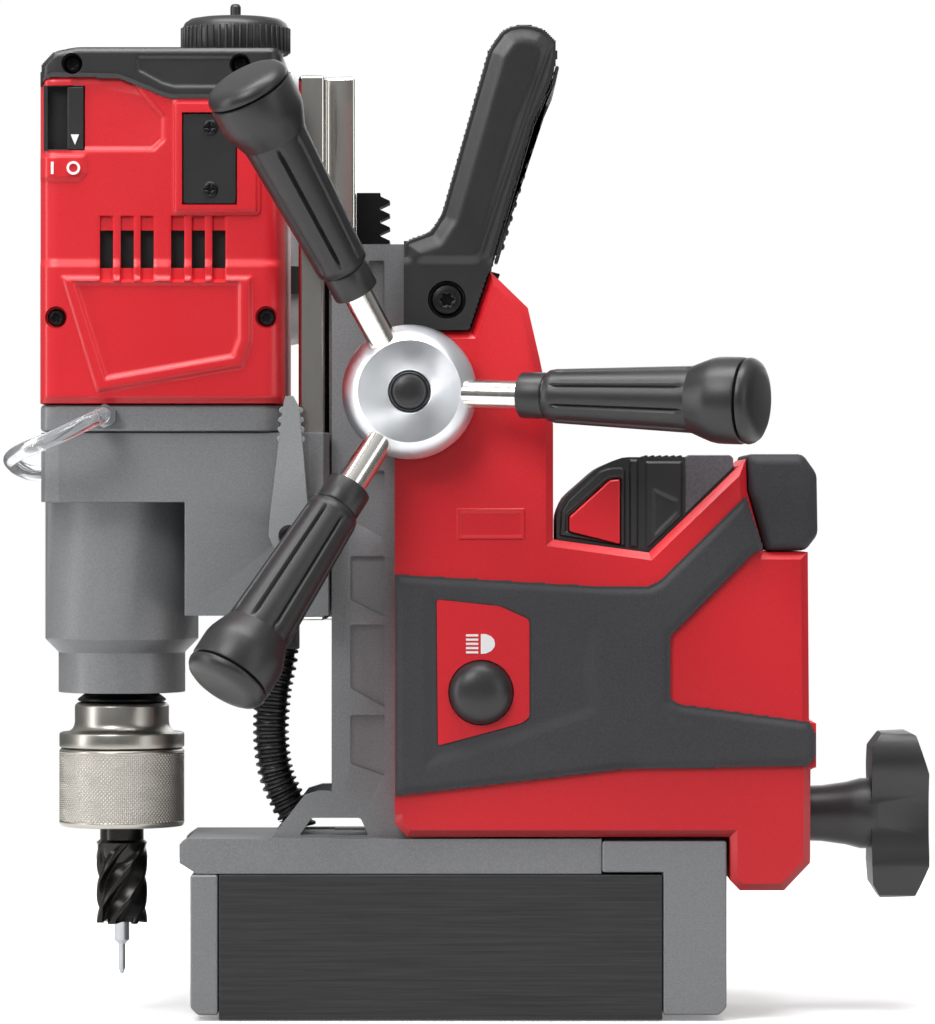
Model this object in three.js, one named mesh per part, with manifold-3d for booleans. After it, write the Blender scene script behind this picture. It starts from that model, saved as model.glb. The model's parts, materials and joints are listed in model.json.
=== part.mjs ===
// Magnetic drill press: a cordless drill head on a rack-fed slide, standing on a switched magnet.
// Millimetres, +Z up, +X towards the rear, origin at the centre of the magnet's bottom face.
import * as THREE from 'three';
import { mergeVertices } from 'three/addons/utils/BufferGeometryUtils.js';
import Module from 'manifold-3d';

const wasm = await Module();
wasm.setup();

// ---- driving dimensions ----
const GAP = 0.3;                       // clearance between touching solids
const MAGNET = { halfX: 90.4, halfY: 40, top: 59.2 };
const BASE_TOP = 73.7;
const BASE_FRONT = -106.4;
const COLUMN = { front: -44.6, rear: 12, halfY: 30, top: 316.6 };
const CHANNEL_HALF = 20.3;             // half width of the guide channel in the column
const CHANNEL_REAR = 2;
const HUB = { x: -12.4, z: 255.6 };    // feed shaft axis
const RACK_MODULE = 1.75;
const PINION_TEETH = 12;
const RACK_ANGLE = 25 * Math.PI / 180;
const PITCH_R = RACK_MODULE * PINION_TEETH / 2;
const RACK = { back: -34.9, halfY: 8, bottom: 175, top: 339 };
const RAIL = { front: -58.4, bottom: 162.4, top: 386.4 };
const SPINDLE_X = -132.5;
const GEAR_MODULE = 1;
const MOTOR_TEETH = 12;
const SPINDLE_TEETH = 40;
const GEAR_ANGLE = 20 * Math.PI / 180;
const ROTOR_X = SPINDLE_X + GEAR_MODULE * (MOTOR_TEETH + SPINDLE_TEETH) / 2;
const MOTOR = { front: -163, rear: -63.7, halfY: 47, bottom: 251, top: 384.6, wall: 3 };
const GEARBOX = { front: -163, rear: -45.6, halfY: 44, bottom: 211, top: 239.3 };
const HOUSING = { halfY: 42, wall: 3 };
const SPOKE_TILT = 22 * Math.PI / 180; // the feed handles lean out from the hub
const SPOKE_ROOT_Y = -47.1;            // where the handle axes cross the shaft axis
const SPOKE_ANGLES = [-2, 118, 238];
const KNOB = { z: 82, front: 177.7, rear: 201.3 };
const BOTTLE = { x: -89, y: 81, r: 31 };
const BATTERY = { front: 47.3, rear: 119.8, halfY: 37.5, bottom: 146 };

// ---- finishes ----
const finish = (color, roughness, metalness) => new THREE.MeshStandardMaterial(
  { color, roughness, metalness });
const RED = finish(0xd81f2a, 0.42, 0);
const BLACK = finish(0x232324, 0.55, 0);
const RUBBER = finish(0x363638, 0.85, 0);
const CAST = finish(0x77787a, 0.55, 0.3);
const STEEL = finish(0xb9babc, 0.3, 1);
const DARK_STEEL = finish(0x2c2c2e, 0.4, 1);
const NICKEL = finish(0xd8d6d0, 0.2, 1);
const BRASS = finish(0xb98d3f, 0.35, 1);
const COPPER = finish(0xa5592c, 0.4, 1);
const BOARD = finish(0x1e5c33, 0.6, 0);
const CLEAR = finish(0xe6e9ea, 0.15, 0);

// ---- solids ----
// Turns a three.js geometry into a solid: welds it, drops collapsed faces and turns it outwards.
function solid(geometry) {
  const bare = new THREE.BufferGeometry();
  bare.setAttribute('position', geometry.getAttribute('position'));
  if (geometry.index) bare.setIndex(geometry.index);
  const welded = mergeVertices(bare, 1e-4);
  const position = welded.getAttribute('position').array;
  const index = welded.index.array;
  const kept = [];
  let volume = 0;
  for (let i = 0; i < index.length; i += 3) {
    const [a, b, c] = [index[i], index[i + 1], index[i + 2]];
    if (a === b || b === c || c === a) continue;
    kept.push(a, b, c);
    const [p, q, r] = [a, b, c].map((v) => new THREE.Vector3().fromArray(position, 3 * v));
    volume += p.dot(q.cross(r));
  }
  if (volume < 0) kept.reverse();
  const mesh = { numProp: 3, vertProperties: Float32Array.from(position), triVerts: Uint32Array.from(kept) };
  return new wasm.Manifold(new wasm.Mesh(mesh));
}

function geometryOf(body) {
  const mesh = body.getMesh();
  const geometry = new THREE.BufferGeometry();
  geometry.setAttribute('position', new THREE.BufferAttribute(mesh.vertProperties, 3));
  geometry.setIndex(new THREE.BufferAttribute(mesh.triVerts, 1));
  geometry.computeVertexNormals();
  return geometry;
}

const join = (...bodies) => bodies.reduce((all, one) => all.add(one));
const cut = (body, ...tools) => tools.reduce((left, tool) => left.subtract(tool), body);

function block(x0, x1, y0, y1, z0, z1) {
  const geometry = new THREE.BoxGeometry(x1 - x0, y1 - y0, z1 - z0);
  return solid(geometry.translate((x0 + x1) / 2, (y0 + y1) / 2, (z0 + z1) / 2));
}

// An outline with each corner rounded by the given radius.
function outline(points, radius = 0) {
  const shape = new THREE.Shape();
  const corners = points.map(([x, y]) => new THREE.Vector2(x, y));
  corners.forEach((corner, i) => {
    const before = corners[(i + corners.length - 1) % corners.length];
    const after = corners[(i + 1) % corners.length];
    const reach = Math.min(radius, corner.distanceTo(before) / 2.01, corner.distanceTo(after) / 2.01);
    const start = corner.clone().add(before.clone().sub(corner).setLength(reach));
    const end = corner.clone().add(after.clone().sub(corner).setLength(reach));
    if (i === 0) shape.moveTo(start.x, start.y);
    else shape.lineTo(start.x, start.y);
    if (radius > 0) shape.quadraticCurveTo(corner.x, corner.y, end.x, end.y);
  });
  shape.closePath();
  return shape;
}

// Each edge of an outline moved inwards by a wall thickness; the points run anticlockwise.
function inset(points, wall) {
  const count = points.length;
  return points.map((point, i) => {
    const before = points[(i + count - 1) % count];
    const after = points[(i + 1) % count];
    const d1 = new THREE.Vector2(point[0] - before[0], point[1] - before[1]).normalize();
    const d2 = new THREE.Vector2(after[0] - point[0], after[1] - point[1]).normalize();
    const n1 = new THREE.Vector2(-d1.y, d1.x);
    const n2 = new THREE.Vector2(-d2.y, d2.x);
    const miter = n1.clone().add(n2).normalize();
    const reach = wall / Math.max(0.35, miter.dot(n1));
    return [point[0] + miter.x * reach, point[1] + miter.y * reach];
  });
}

const CORNER_STEPS = 2;
// An outline drawn in X and Z, given depth from y0 to y1.
function sidePlate(points, y0, y1, radius = 0) {
  const geometry = new THREE.ExtrudeGeometry(outline(points, radius), {
    depth: y1 - y0, bevelEnabled: false, curveSegments: CORNER_STEPS });
  return solid(geometry.rotateX(Math.PI / 2).translate(0, y1, 0));
}

// An anticlockwise outline in X and Z, from y0 out to y1 on one side, with a chamfer round its outer face.
function chamferedPlate(points, y0, y1, width, side) {
  const face = inset(points, width);
  const rings = [[points, y0], [points, y1 - width], [face, y1]];
  const count = points.length;
  const flat = (ring) => THREE.ShapeUtils.triangulateShape(ring.map((p) => new THREE.Vector2(...p)), []);
  const index = flat(points).flat();
  flat(face).forEach(([a, b, c]) => index.push(2 * count + c, 2 * count + b, 2 * count + a));
  for (let i = 0; i < 2 * count; i += 1) {
    const next = i - (i % count) + ((i + 1) % count);
    index.push(next, i, i + count, next, i + count, next + count);
  }
  const geometry = new THREE.BufferGeometry();
  const corners = rings.flatMap(([ring, y]) => ring.flatMap(([x, z]) => [x, side * y, z]));
  geometry.setAttribute('position', new THREE.Float32BufferAttribute(corners, 3));
  geometry.setIndex(index);
  return solid(geometry);
}

// An outline drawn in X and Y, raised from z0 to z1.
function flatPlate(points, z0, z1, radius = 0) {
  const geometry = new THREE.ExtrudeGeometry(outline(points, radius), {
    depth: z1 - z0, bevelEnabled: false, curveSegments: CORNER_STEPS });
  return solid(geometry.translate(0, 0, z0));
}

// An outline drawn in Y and Z, given depth from x0 to x1.
function endPlate(points, x0, x1, radius = 0) {
  const geometry = new THREE.ExtrudeGeometry(outline(points, radius), {
    depth: x1 - x0, bevelEnabled: false, curveSegments: CORNER_STEPS });
  return solid(geometry.rotateX(Math.PI / 2).rotateZ(Math.PI / 2).translate(x0, 0, 0));
}

const AXES = { X: [1, 0, 0], Y: [0, 1, 0], Z: [0, 0, 1], '-Y': [0, -1, 0] };
// A profile of [radius, distance] pairs turned about a line that starts at a point.
function turned(profile, at, axis, sides = 32) {
  const points = profile.map(([r, d]) => new THREE.Vector2(r, d));
  if (profile[0][0] > 0) points.push(points[0].clone());
  const direction = Array.isArray(axis) ? new THREE.Vector3(...axis) : new THREE.Vector3(...AXES[axis]);
  const turn = new THREE.Quaternion().setFromUnitVectors(new THREE.Vector3(0, 1, 0), direction.normalize());
  const geometry = new THREE.LatheGeometry(points, sides).applyQuaternion(turn);
  return solid(geometry.translate(...at));
}

// A plain round bar or drill from one distance to another along an axis.
const rod = (r, d0, d1, at, axis, sides = 24) =>
  turned([[0, d0], [r, d0], [r, d1], [0, d1]], at, axis, sides);
const ring = (r0, r1, d0, d1, at, axis, sides = 24) =>
  turned([[r0, d0], [r1, d0], [r1, d1], [r0, d1]], at, axis, sides);

function swept(points, radius, steps, sides) {
  const path = new THREE.CatmullRomCurve3(points.map((p) => new THREE.Vector3(...p)));
  const section = new THREE.Shape();
  for (let i = 0; i < sides; i += 1) {
    const angle = 2 * Math.PI * i / sides;
    if (i === 0) section.moveTo(radius, 0);
    else section.lineTo(radius * Math.cos(angle), radius * Math.sin(angle));
  }
  section.closePath();
  return solid(new THREE.ExtrudeGeometry(section, { steps, bevelEnabled: false, extrudePath: path }));
}

// ---- gear teeth ----
const involute = (angle) => Math.tan(angle) - angle;
// Outline of a spur gear; the first tooth points along `phase`.
function gearOutline(module, teeth, pressure, backlash, phase) {
  const pitch = module * teeth / 2;
  const base = pitch * Math.cos(pressure);
  const root = pitch - 1.25 * module;
  const tip = pitch + module;
  const half = Math.PI / (2 * teeth) - backlash / (2 * pitch);
  const flank = (r) => half + involute(pressure) - involute(Math.acos(Math.min(1, base / r)));
  const low = Math.max(base, root + 0.05);
  const radii = [root, low, tip];
  const points = [];
  for (let k = 0; k < teeth; k += 1) {
    const centre = phase + 2 * Math.PI * k / teeth;
    for (const r of radii) {
      const angle = centre - flank(Math.max(r, low));
      points.push([r * Math.cos(angle), r * Math.sin(angle)]);
    }
    for (const r of [...radii].reverse()) {
      const angle = centre + flank(Math.max(r, low));
      points.push([r * Math.cos(angle), r * Math.sin(angle)]);
    }
  }
  return points;
}

function rackOutline() {
  const pitch = Math.PI * RACK_MODULE;
  const pitchX = HUB.x - PITCH_R;
  const tip = pitchX + RACK_MODULE;
  const root = pitchX - 1.25 * RACK_MODULE;
  const half = pitch / 4 - 0.1;
  const points = [[RACK.back, RACK.top], [RACK.back, RACK.bottom], [root, RACK.bottom]];
  const first = Math.ceil((RACK.bottom + half - HUB.z) / pitch);
  for (let k = first; HUB.z + (k + 1) * pitch < RACK.top; k += 1) {
    const centre = HUB.z + (k + 0.5) * pitch;
    const atRoot = half + 1.25 * RACK_MODULE * Math.tan(RACK_ANGLE);
    const atTip = half - RACK_MODULE * Math.tan(RACK_ANGLE);
    points.push([root, centre - atRoot], [tip, centre - atTip]);
    points.push([tip, centre + atTip], [root, centre + atRoot]);
  }
  points.push([root, RACK.top]);
  return points;
}

// ---- model tree ----
const model = new THREE.Group();
function add(name, body, material) {
  const mesh = new THREE.Mesh(geometryOf(body), material);
  mesh.name = name;
  model.add(mesh);
}

// ---- magnet base and column ----
function magnetBlock() {
  const grooves = [-14, 14].map((y) => block(-100, 100, y - 1, y + 1, -1, 1.2));
  return cut(block(-MAGNET.halfX, MAGNET.halfX, -MAGNET.halfY, MAGNET.halfY, 0, MAGNET.top), ...grooves);
}

function frontEndPlate() {
  const side = [[-102, 5], [-99, 2], [-90.7, 2], [-90.7, 59.1], [-102, 59.1]];
  return sidePlate(side, -MAGNET.halfY, MAGNET.halfY);
}

function rearEndBlock() {
  const side = [[90.7, 2], [113.6, 2], [116.6, 5], [116.6, 72.9], [65.9, 72.9], [65.9, 60], [90.7, 60]];
  return sidePlate(side, -MAGNET.halfY, MAGNET.halfY);
}

const POCKETS = [
  [[-37, 224], [-37, 204], [-23, 196], [-23, 224]],
  [[-37, 189], [-37, 171], [-23, 164], [-23, 189]],
  [[-37, 161], [-37, 135], [-23, 127], [-23, 161]],
  [[-37, 124], [-37, 104], [-23, 99], [-23, 124]],
  [[-29.5, 310], [-29.5, 240], [-23, 231], [-23, 310]],
];
function columnCasting() {
  const { front, rear, halfY, top } = COLUMN;
  const rail = [[BASE_FRONT, 63.9], [-99.5, 59.5], [65.6, 59.5], [65.6, BASE_TOP], [-100, BASE_TOP],
    [-103, BASE_TOP], [BASE_FRONT, 71.4]];
  const foot = [[-70.6, 72], [-55.8, 91], [-50, 92.8], [-40, 92.8], [-40, 72]];
  const body = join(
    sidePlate(rail, -38, 38),
    sidePlate(foot, -halfY, halfY),
    block(front, rear, -halfY, halfY, 72, top));
  const channel = block(-80, CHANNEL_REAR, -CHANNEL_HALF, CHANNEL_HALF, BASE_TOP, top + 5);
  const railRoom = block(-80, front - 0.001, -25, 25, BASE_TOP, 120);
  const slot = sidePlate([[-58, 74.6], [-29.5, 74.6], [-32.8, 81.8], [-52.7, 81.8]], -50, 50, 1);
  const chuckRoom = rod(30, 40, 90, [SPINDLE_X, 0, 0], 'Z', 40);
  const shaftHoles = rod(9, -50, 50, [HUB.x, 0, HUB.z], 'Y');
  const pockets = POCKETS.flatMap((points) => [
    sidePlate(points, -halfY - 1, -halfY + 2, 1),
    sidePlate(points, halfY - 2, halfY + 1, 1)]);
  return cut(body, channel, railRoom, slot, chuckRoom, shaftHoles, ...pockets);
}

// Dovetail strips that hold the slide in the column's channel.
function gib(side) {
  const half = [[-44.9, 14.45], [-36, 17.9], [-36, 20], [-44.9, 20]];
  return flatPlate(half.map(([x, y]) => [x, side * y]), 94, COLUMN.top - 1);
}

const hubBushing = (side) => ring(6.15, 8.7, side * 20.6, side * 29.7, [HUB.x, 0, HUB.z], 'Y');

// ---- rear housing ----
const HOUSING_EDGE = [[-18.6, 80], [-13.6, 74.6], [117.9, 74.6], [117.9, 57], [122, 52.8], [140, 52.8],
  [150.6, 64], [150.8, 102], [152.9, 103], [152.9, 121], [150.2, 122], [149.7, 190.7], [131.8, 190.7],
  [124.8, 216], [124.4, 228.6], [84.9, 190.5], [45.9, 195.8], [45.9, 242.6], [40.5, 269], [35.6, 290.2],
  [20.3, 305], [12.1, 280.6], [-18.6, 280.6]];
const CHAMFER = 3;
// Where the housing's edge stays square: next to the column and behind the end of the overmoulded band.
const BESIDE_COLUMN = [[-18.6, 84], [-13, 84], [-13, 277], [-18.6, 277]];
const BESIDE_BAND = [[142, 103], [152.9, 103], [152.9, 121], [142, 122]];
function housingHalf(side) {
  const { halfY, wall } = HOUSING;
  const range = (a, b) => (side < 0 ? [-b, -a] : [a, b]);
  const edges = [sidePlate(BESIDE_COLUMN, ...range(20, halfY)), sidePlate(BESIDE_BAND, ...range(20, halfY))];
  const shell = join(chamferedPlate(HOUSING_EDGE, 0.15, halfY, CHAMFER, side), ...edges);
  const hollow = sidePlate(inset(HOUSING_EDGE, wall), ...range(-1, halfY - wall), 1);
  const column = block(-25, COLUMN.rear + 1, -COLUMN.halfY - 0.4, COLUMN.halfY + 0.4, 60, 320);
  const packMouth = block(46.4, 121.5, -BATTERY.halfY - 0.6, BATTERY.halfY + 0.6, 150, 260);
  const knobHole = rod(8, 130, 160, [0, 0, KNOB.z], 'X');
  const tools = [hollow, column, packMouth, knobHole];
  if (side < 0) {
    tools.push(rod(7.5, 30, 60, [HUB.x, 0, HUB.z], '-Y'));
    tools.push(rod(13.4, 30, 60, [16.5, 0, 133.6], '-Y'));
  }
  return cut(shell, ...tools);
}

const BAND_EDGE = [[-18.4, 181.5], [66, 176.6], [84.5, 176.6], [89.3, 179], [124.2, 213.4], [131.4, 191.8],
  [126.6, 189.8], [93.4, 156.7], [93.4, 130.6], [97.8, 128.6], [149.8, 121.6], [152.6, 116.4], [152.6, 107.8],
  [149.6, 103.8], [74.6, 102.5], [-18.4, 91.6]];
const LIGHT_PANEL_EDGE = [[-1.5, 171.4], [24.2, 168.7], [35.4, 163.6], [36.2, 162], [36.2, 123.7],
  [33.2, 121.2], [-1, 112]];
function overmould(side) {
  const face = HOUSING.halfY + GAP;
  const range = side < 0 ? [-face - 1.4, -face] : [face, face + 1.4];
  const band = sidePlate(BAND_EDGE, ...range, 2);
  return side < 0 ? cut(band, sidePlate(inset(LIGHT_PANEL_EDGE.toReversed(), -GAP), -60, -30, 1)) : band;
}

function lightPanel() {
  const face = HOUSING.halfY + GAP;
  return cut(sidePlate(LIGHT_PANEL_EDGE, -face - 2, -face, 1), rod(13.4, 30, 60, [16.5, 0, 133.6], '-Y'));
}

const lightButton = () => turned(
  [[0, 0], [12.9, 0], [12.9, 5], [11.6, 8], [8.6, 10.2], [4.5, 11.5], [0, 11.9]],
  [16.5, -39.4, 133.6], '-Y', 28);

function bayCap() {
  const side = [[124.9, 230.6], [147.7, 230.6], [153.4, 222.6], [153.8, 197.8], [148.8, 191.3],
    [132.2, 191.1], [125.3, 216]];
  const halves = [-1, 1].map((way) => chamferedPlate(side.toReversed(), -1, HOUSING.halfY, CHAMFER, way));
  return join(...halves);
}

const HANDLE_EDGE = [[-14.9, 281], [11.5, 281], [20.2, 306.5], [29.6, 338.9], [37.2, 364.5], [44.8, 381.8],
  [47.6, 393], [42, 404], [33, 405.6],
  [25.5, 403.6], [19.6, 395], [0.5, 328], [-4, 321], [-14.9, 317]];
function carryHandle() {
  const outer = sidePlate(HANDLE_EDGE, -42, 42, 3);
  const between = block(-40, 80, -30.4, 30.4, 270, 330);
  const hand = block(-40, 80, -28, 28, 318, 376);
  const farScrew = rod(7.7, 39, 45, [2.6, 0, 293.4], 'Y');
  const nearScrew = rod(7.7, 39, 45, [2.6, 0, 293.4], '-Y');
  return cut(outer, between, hand, farScrew, nearScrew);
}

// Soft strip let on to the rear of the carry handle.
function handleGrip() {
  const strip = [[22.14, 311.9], [23.62, 311.5], [31.42, 338.37], [39, 363.95], [46.58, 381.17],
    [48.44, 388.54], [46.94, 388.9], [45.13, 381.68], [37.53, 364.38], [29.94, 338.8]];
  return cut(sidePlate(strip, -41, 41), block(0, 80, -29, 29, 300, 378));
}

// ---- battery and switchgear ----
const BATTERY_EDGE = [[BATTERY.front, BATTERY.bottom], [BATTERY.rear, BATTERY.bottom], [BATTERY.rear, 226],
  [117.6, 229.4], [74, 229.4], [64, 225], [50.4, 213], [BATTERY.front, 206]];
const LATCH_EDGE = [[52.4, 199], [73.2, 193.8], [73.2, 220.4], [69, 220], [52.4, 205]];
function batteryCase() {
  const { halfY } = BATTERY;
  const pocket = inset(LATCH_EDGE, -GAP);
  const rails = [-1, 1].map((side) => block(BATTERY.front - 1, 57, side * 24 - 4, side * 24 + 4, 140, 178));
  return cut(sidePlate(BATTERY_EDGE, -halfY, halfY, 2.5),
    sidePlate(pocket, -halfY - 1, -halfY + 5), sidePlate(pocket, halfY - 5, halfY + 1), ...rails);
}

function batteryLatch(side) {
  const range = side < 0 ? [-39.6, -35.2] : [35.2, 39.6];
  return sidePlate(LATCH_EDGE, ...range);
}

function batteryReceiver() {
  const rails = [-1, 1].map((side) => block(44, 56, side * 24 - 3, side * 24 + 3, 132, 176));
  return join(block(44, 118, -34, 34, 132, 145.4), block(40, 46.2, -30, 30, 132, 176), ...rails);
}

const controlBoard = () => block(30, 110, -28, 28, 96, 98);

function knobShaft() {
  return rod(5.7, 121.5, 190, [0, 0, KNOB.z], 'X', 20);
}

function magnetKnob() {
  const z = KNOB.z;
  const lobe = (way) => [[-18, z + way * 21], [-12, z + way * 34.5], [12, z + way * 34.5], [18, z + way * 21]];
  const edge = [...lobe(-1), [13.5, z - 9], [13.5, z + 9]];
  edge.push(...lobe(1).toReversed(), [-13.5, z + 9], [-13.5, z - 9]);
  const { front, rear } = KNOB;
  const profile = [[front, z - 20], [front + 0.5, z - 28.7], [front + 4, z - 34.5], [rear - 5.4, z - 33.9],
    [rear, z - 21], [rear, z + 17], [rear - 5, z + 32.6], [rear - 8.8, z + 34.5], [front + 4.3, z + 33.9],
    [front + 0.2, z + 28], [front, z + 20]];
  const head = endPlate(edge, front, rear, 5).intersect(sidePlate(profile, -30, 30));
  const neck = turned([[0, 151.6], [11.4, 151.6], [11.6, 158], [13, 168], [14.6, 174], [14.6, 180], [0, 180]],
    [0, 0, z], 'X', 28);
  return cut(join(head, neck), rod(6, 140, 191, [0, 0, z], 'X'));
}

// ---- feed shaft, hub and handles ----
function pinionShaft() {
  const section = gearOutline(RACK_MODULE, PINION_TEETH, RACK_ANGLE, 0.2, 0);
  const teeth = sidePlate(section.map(([x, z]) => [HUB.x + x, HUB.z + z]), -9, 9);
  return join(teeth, rod(6, -30.2, 51.5, [HUB.x, 0, HUB.z], '-Y'));
}

function spokeAxis(angle) {
  const turn = angle * Math.PI / 180;
  const out = Math.cos(SPOKE_TILT);
  return [out * Math.cos(turn), -Math.sin(SPOKE_TILT), out * Math.sin(turn)];
}
const SPOKE_ROOT = [HUB.x, SPOKE_ROOT_Y, HUB.z];

function feedHub() {
  const profile = [[0, 8], [6.3, 8], [6.3, 0], [14, 0], [14, 2.4], [27.3, 4.4], [27.3, 10.5], [20.8, 17.5],
    [8.2, 17.5], [8.2, 12], [0, 12]];
  const body = turned(profile, [HUB.x, -44.5, HUB.z], '-Y', 36);
  return cut(body, ...SPOKE_ANGLES.map((angle) => rod(6.3, 13, 60, SPOKE_ROOT, spokeAxis(angle), 16)));
}

const hubCap = () => turned([[0, 0], [7.8, 0], [7.8, 5.6], [6.6, 6.6], [6.2, 8], [4, 9.5], [0, 10]],
  [HUB.x, -56.8, HUB.z], '-Y', 20);

const spoke = (angle) => rod(6, 13.4, 90, SPOKE_ROOT, spokeAxis(angle), 16);

function grip(angle) {
  const profile = [[0, 91], [6.3, 91], [6.3, 49], [9.3, 49], [9.3, 60], [10.2, 61], [13.2, 121],
    [16.8, 130], [17.3, 145], [15.2, 149.6], [0, 150.8]];
  return turned(profile, SPOKE_ROOT, spokeAxis(angle), 16);
}

// ---- slide ----
function slideRail() {
  const half = [[RAIL.front, 24], [-47.4, 24], [-47.4, 14], [-45.5, 14], [-35.2, 18]];
  const plan = [...half, ...half.map(([x, y]) => [x, -y]).reverse()];
  return flatPlate(plan, RAIL.bottom, RAIL.top);
}

const rack = () => sidePlate(rackOutline(), -RACK.halfY, RACK.halfY);

function gearboxCasting() {
  const { front, rear, halfY, bottom, top } = GEARBOX;
  const plan = [[front, -halfY], [rear, -halfY], [rear, halfY], [front, halfY]];
  const barrel = turned([[0, 132.4], [26.3, 132.4], [26.3, 149], [31.8, 154.6], [31.8, 212.7], [0, 212.7]],
    [SPINDLE_X, 0, 0], 'Z', 32);
  const rearBlock = block(-104, rear, -halfY, halfY, 164.8, 214);
  const body = join(flatPlate(plan, bottom, top, 8), barrel, rearBlock);
  const cavity = block(-157, -66, -36, 36, 216, 250);
  const railRoom = block(-58.7, -30, -24.3, 24.3, 100, 300);
  const bore = rod(12, 120, 220, [SPINDLE_X, 0, 0], 'Z');
  const lowerSeat = rod(16.3, 125, 147, [SPINDLE_X, 0, 0], 'Z');
  const upperSeat = rod(16.3, 204, 220, [SPINDLE_X, 0, 0], 'Z');
  const leverHole = rod(3, 30, 60, [-61.1, 0, 197.4], '-Y', 16);
  return cut(body, cavity, railRoom, bore, lowerSeat, upperSeat, leverHole);
}

function gearboxCover() {
  const halfY = 46;
  const plan = [[MOTOR.front, -halfY], [MOTOR.rear, -halfY], [MOTOR.rear, halfY], [MOTOR.front, halfY]];
  return cut(flatPlate(plan, 239.7, 250.6, 8), rod(8, 230, 260, [ROTOR_X, 0, 0], 'Z'),
    rod(10, 230, 246, [SPINDLE_X, 0, 0], 'Z'));
}

// ---- motor housing ----
const VENT_X = [-135.5, -127.1, -119, -106.6, -98.2, -89.9];
const VENT_HALF = 2.7;
function motorHalf(side) {
  const { front, rear, halfY, bottom, top, wall } = MOTOR;
  const range = (a, b) => (side < 0 ? [-b, -a] : [a, b]);
  const box = [[front, bottom], [rear, bottom], [rear, top], [front, top]];
  const shellPlan = (grow) => [[front + grow, -halfY + grow], [rear - grow, -halfY + grow],
    [rear - grow, halfY - grow], [front + grow, halfY - grow]];
  const half = block(front - 5, rear + 5, ...range(0.15, halfY + 5), bottom - 5, top + 5);
  const outer = flatPlate(shellPlan(0), bottom, top, 8);
  const waist = sidePlate([[front - 1, 296], [front + 2, 299], [front + 2, 307], [front - 1, 310]], -60, 60);
  const panel = [[-153.6, 297], [-137, 258], [-77.5, 271], [-77.5, 298.3]];
  const frame = [[-108, 327.6], [-73, 327.6], [-73, 373.6], [-108, 373.6]];
  const raised = [sidePlate(panel, ...range(halfY - 1, halfY + 0.8), 1)];
  if (side < 0) raised.push(sidePlate(frame, ...range(halfY - 1, halfY + 2), 2));
  const hollow = flatPlate(shellPlan(wall), bottom - 5, top + 5, 6);
  const depth = range(halfY - 10, halfY + 5);
  const vents = VENT_X.map((x) => block(x - VENT_HALF, x + VENT_HALF, ...depth, 306, 321.3));
  const screws = [[-155.9, 285.9], [-70.6, 286]].map(([x, z]) =>
    rod(4.5, halfY - 2, halfY + 3, [x, 0, z], side < 0 ? '-Y' : 'Y', 20));
  const tools = [hollow, waist, ...vents, ...screws];
  if (side < 0) {
    tools.push(block(-161, -144.3, -50, -40, 353.7, 380.1));
    tools.push(block(-104.8, -82.4, -50, -halfY, 331.6, 369.1));
  }
  return cut(join(outer.intersect(half), ...raised), ...tools);
}

const nameplate = () => sidePlate([[-104.4, 332], [-82.8, 332], [-82.8, 368.7], [-104.4, 368.7]],
  -MOTOR.halfY - 1.6, -MOTOR.halfY - GAP, 1.5);
const powerSlider = () => block(-151.4, -144.7, -48, -43.6, 354.2, 379.6);

function topCap() {
  const { front, rear, top } = MOTOR;
  const side = [[front + 0.4, top + GAP], [rear - 0.4, top + GAP], [rear - 0.4, 393], [rear - 3, 395.8],
    [-148, 395.8], [-157, 394], [front + 0.4, 388]];
  const plan = [[front, -46], [rear, -46], [rear, 46], [front, 46]];
  const screws = [[-149.4, 388.9], [-81.2, 388.6]].flatMap(([x, z]) =>
    ['-Y', 'Y'].map((axis) => rod(4.2, 43, 50, [x, 0, z], axis, 20)));
  return cut(sidePlate(side, -46, 46, 2).intersect(flatPlate(plan, 380, 400, 8)), ...screws);
}

const stator = () => ring(20.5, 31, 278, 334, [ROTOR_X, 0, 0], 'Z', 32);
function motorRotor() {
  const section = gearOutline(GEAR_MODULE, MOTOR_TEETH, GEAR_ANGLE, 0.2, 0);
  const pinion = flatPlate(section.map(([x, y]) => [ROTOR_X + x, y]), 219, 232);
  const shaft = rod(4, 231, 350, [ROTOR_X, 0, 0], 'Z', 20);
  return join(pinion, shaft, rod(19.5, 280, 332, [ROTOR_X, 0, 0], 'Z', 24));
}

// ---- spindle and tooling ----
const onSpindle = [SPINDLE_X, 0, 0];
const spindle = () => turned([[0, 128.6], [18.3, 128.6], [15, 132], [9, 134.4], [9, 237], [0, 237]],
  onSpindle, 'Z', 28);
function spindleGear() {
  const halfTooth = Math.PI / SPINDLE_TEETH;
  const section = gearOutline(GEAR_MODULE, SPINDLE_TEETH, GEAR_ANGLE, 0.2, halfTooth);
  const body = flatPlate(section.map(([x, y]) => [SPINDLE_X + x, y]), 220, 230);
  return cut(body, rod(9.3, 200, 240, onSpindle, 'Z'));
}
const bearing = (z0, z1) => ring(9.3, 16, z0, z1, onSpindle, 'Z', 28);
const arbor = () => turned([[9.3, 77.4], [13, 77.4], [13, 109.4], [25.9, 109.4], [25.9, 115.8], [21, 116.6],
  [19.5, 119.4], [19.5, 127], [18.4, 128.3], [0, 128.3], [0, 124.4], [9.3, 124.4]], onSpindle, 'Z', 30);
const chuckSleeve = () => turned([[13.3, 76.8], [25.1, 76.8], [25.9, 77.6], [25.9, 108.3], [25.1, 109.1],
  [13.3, 109.1]], onSpindle, 'Z', 30);

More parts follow.
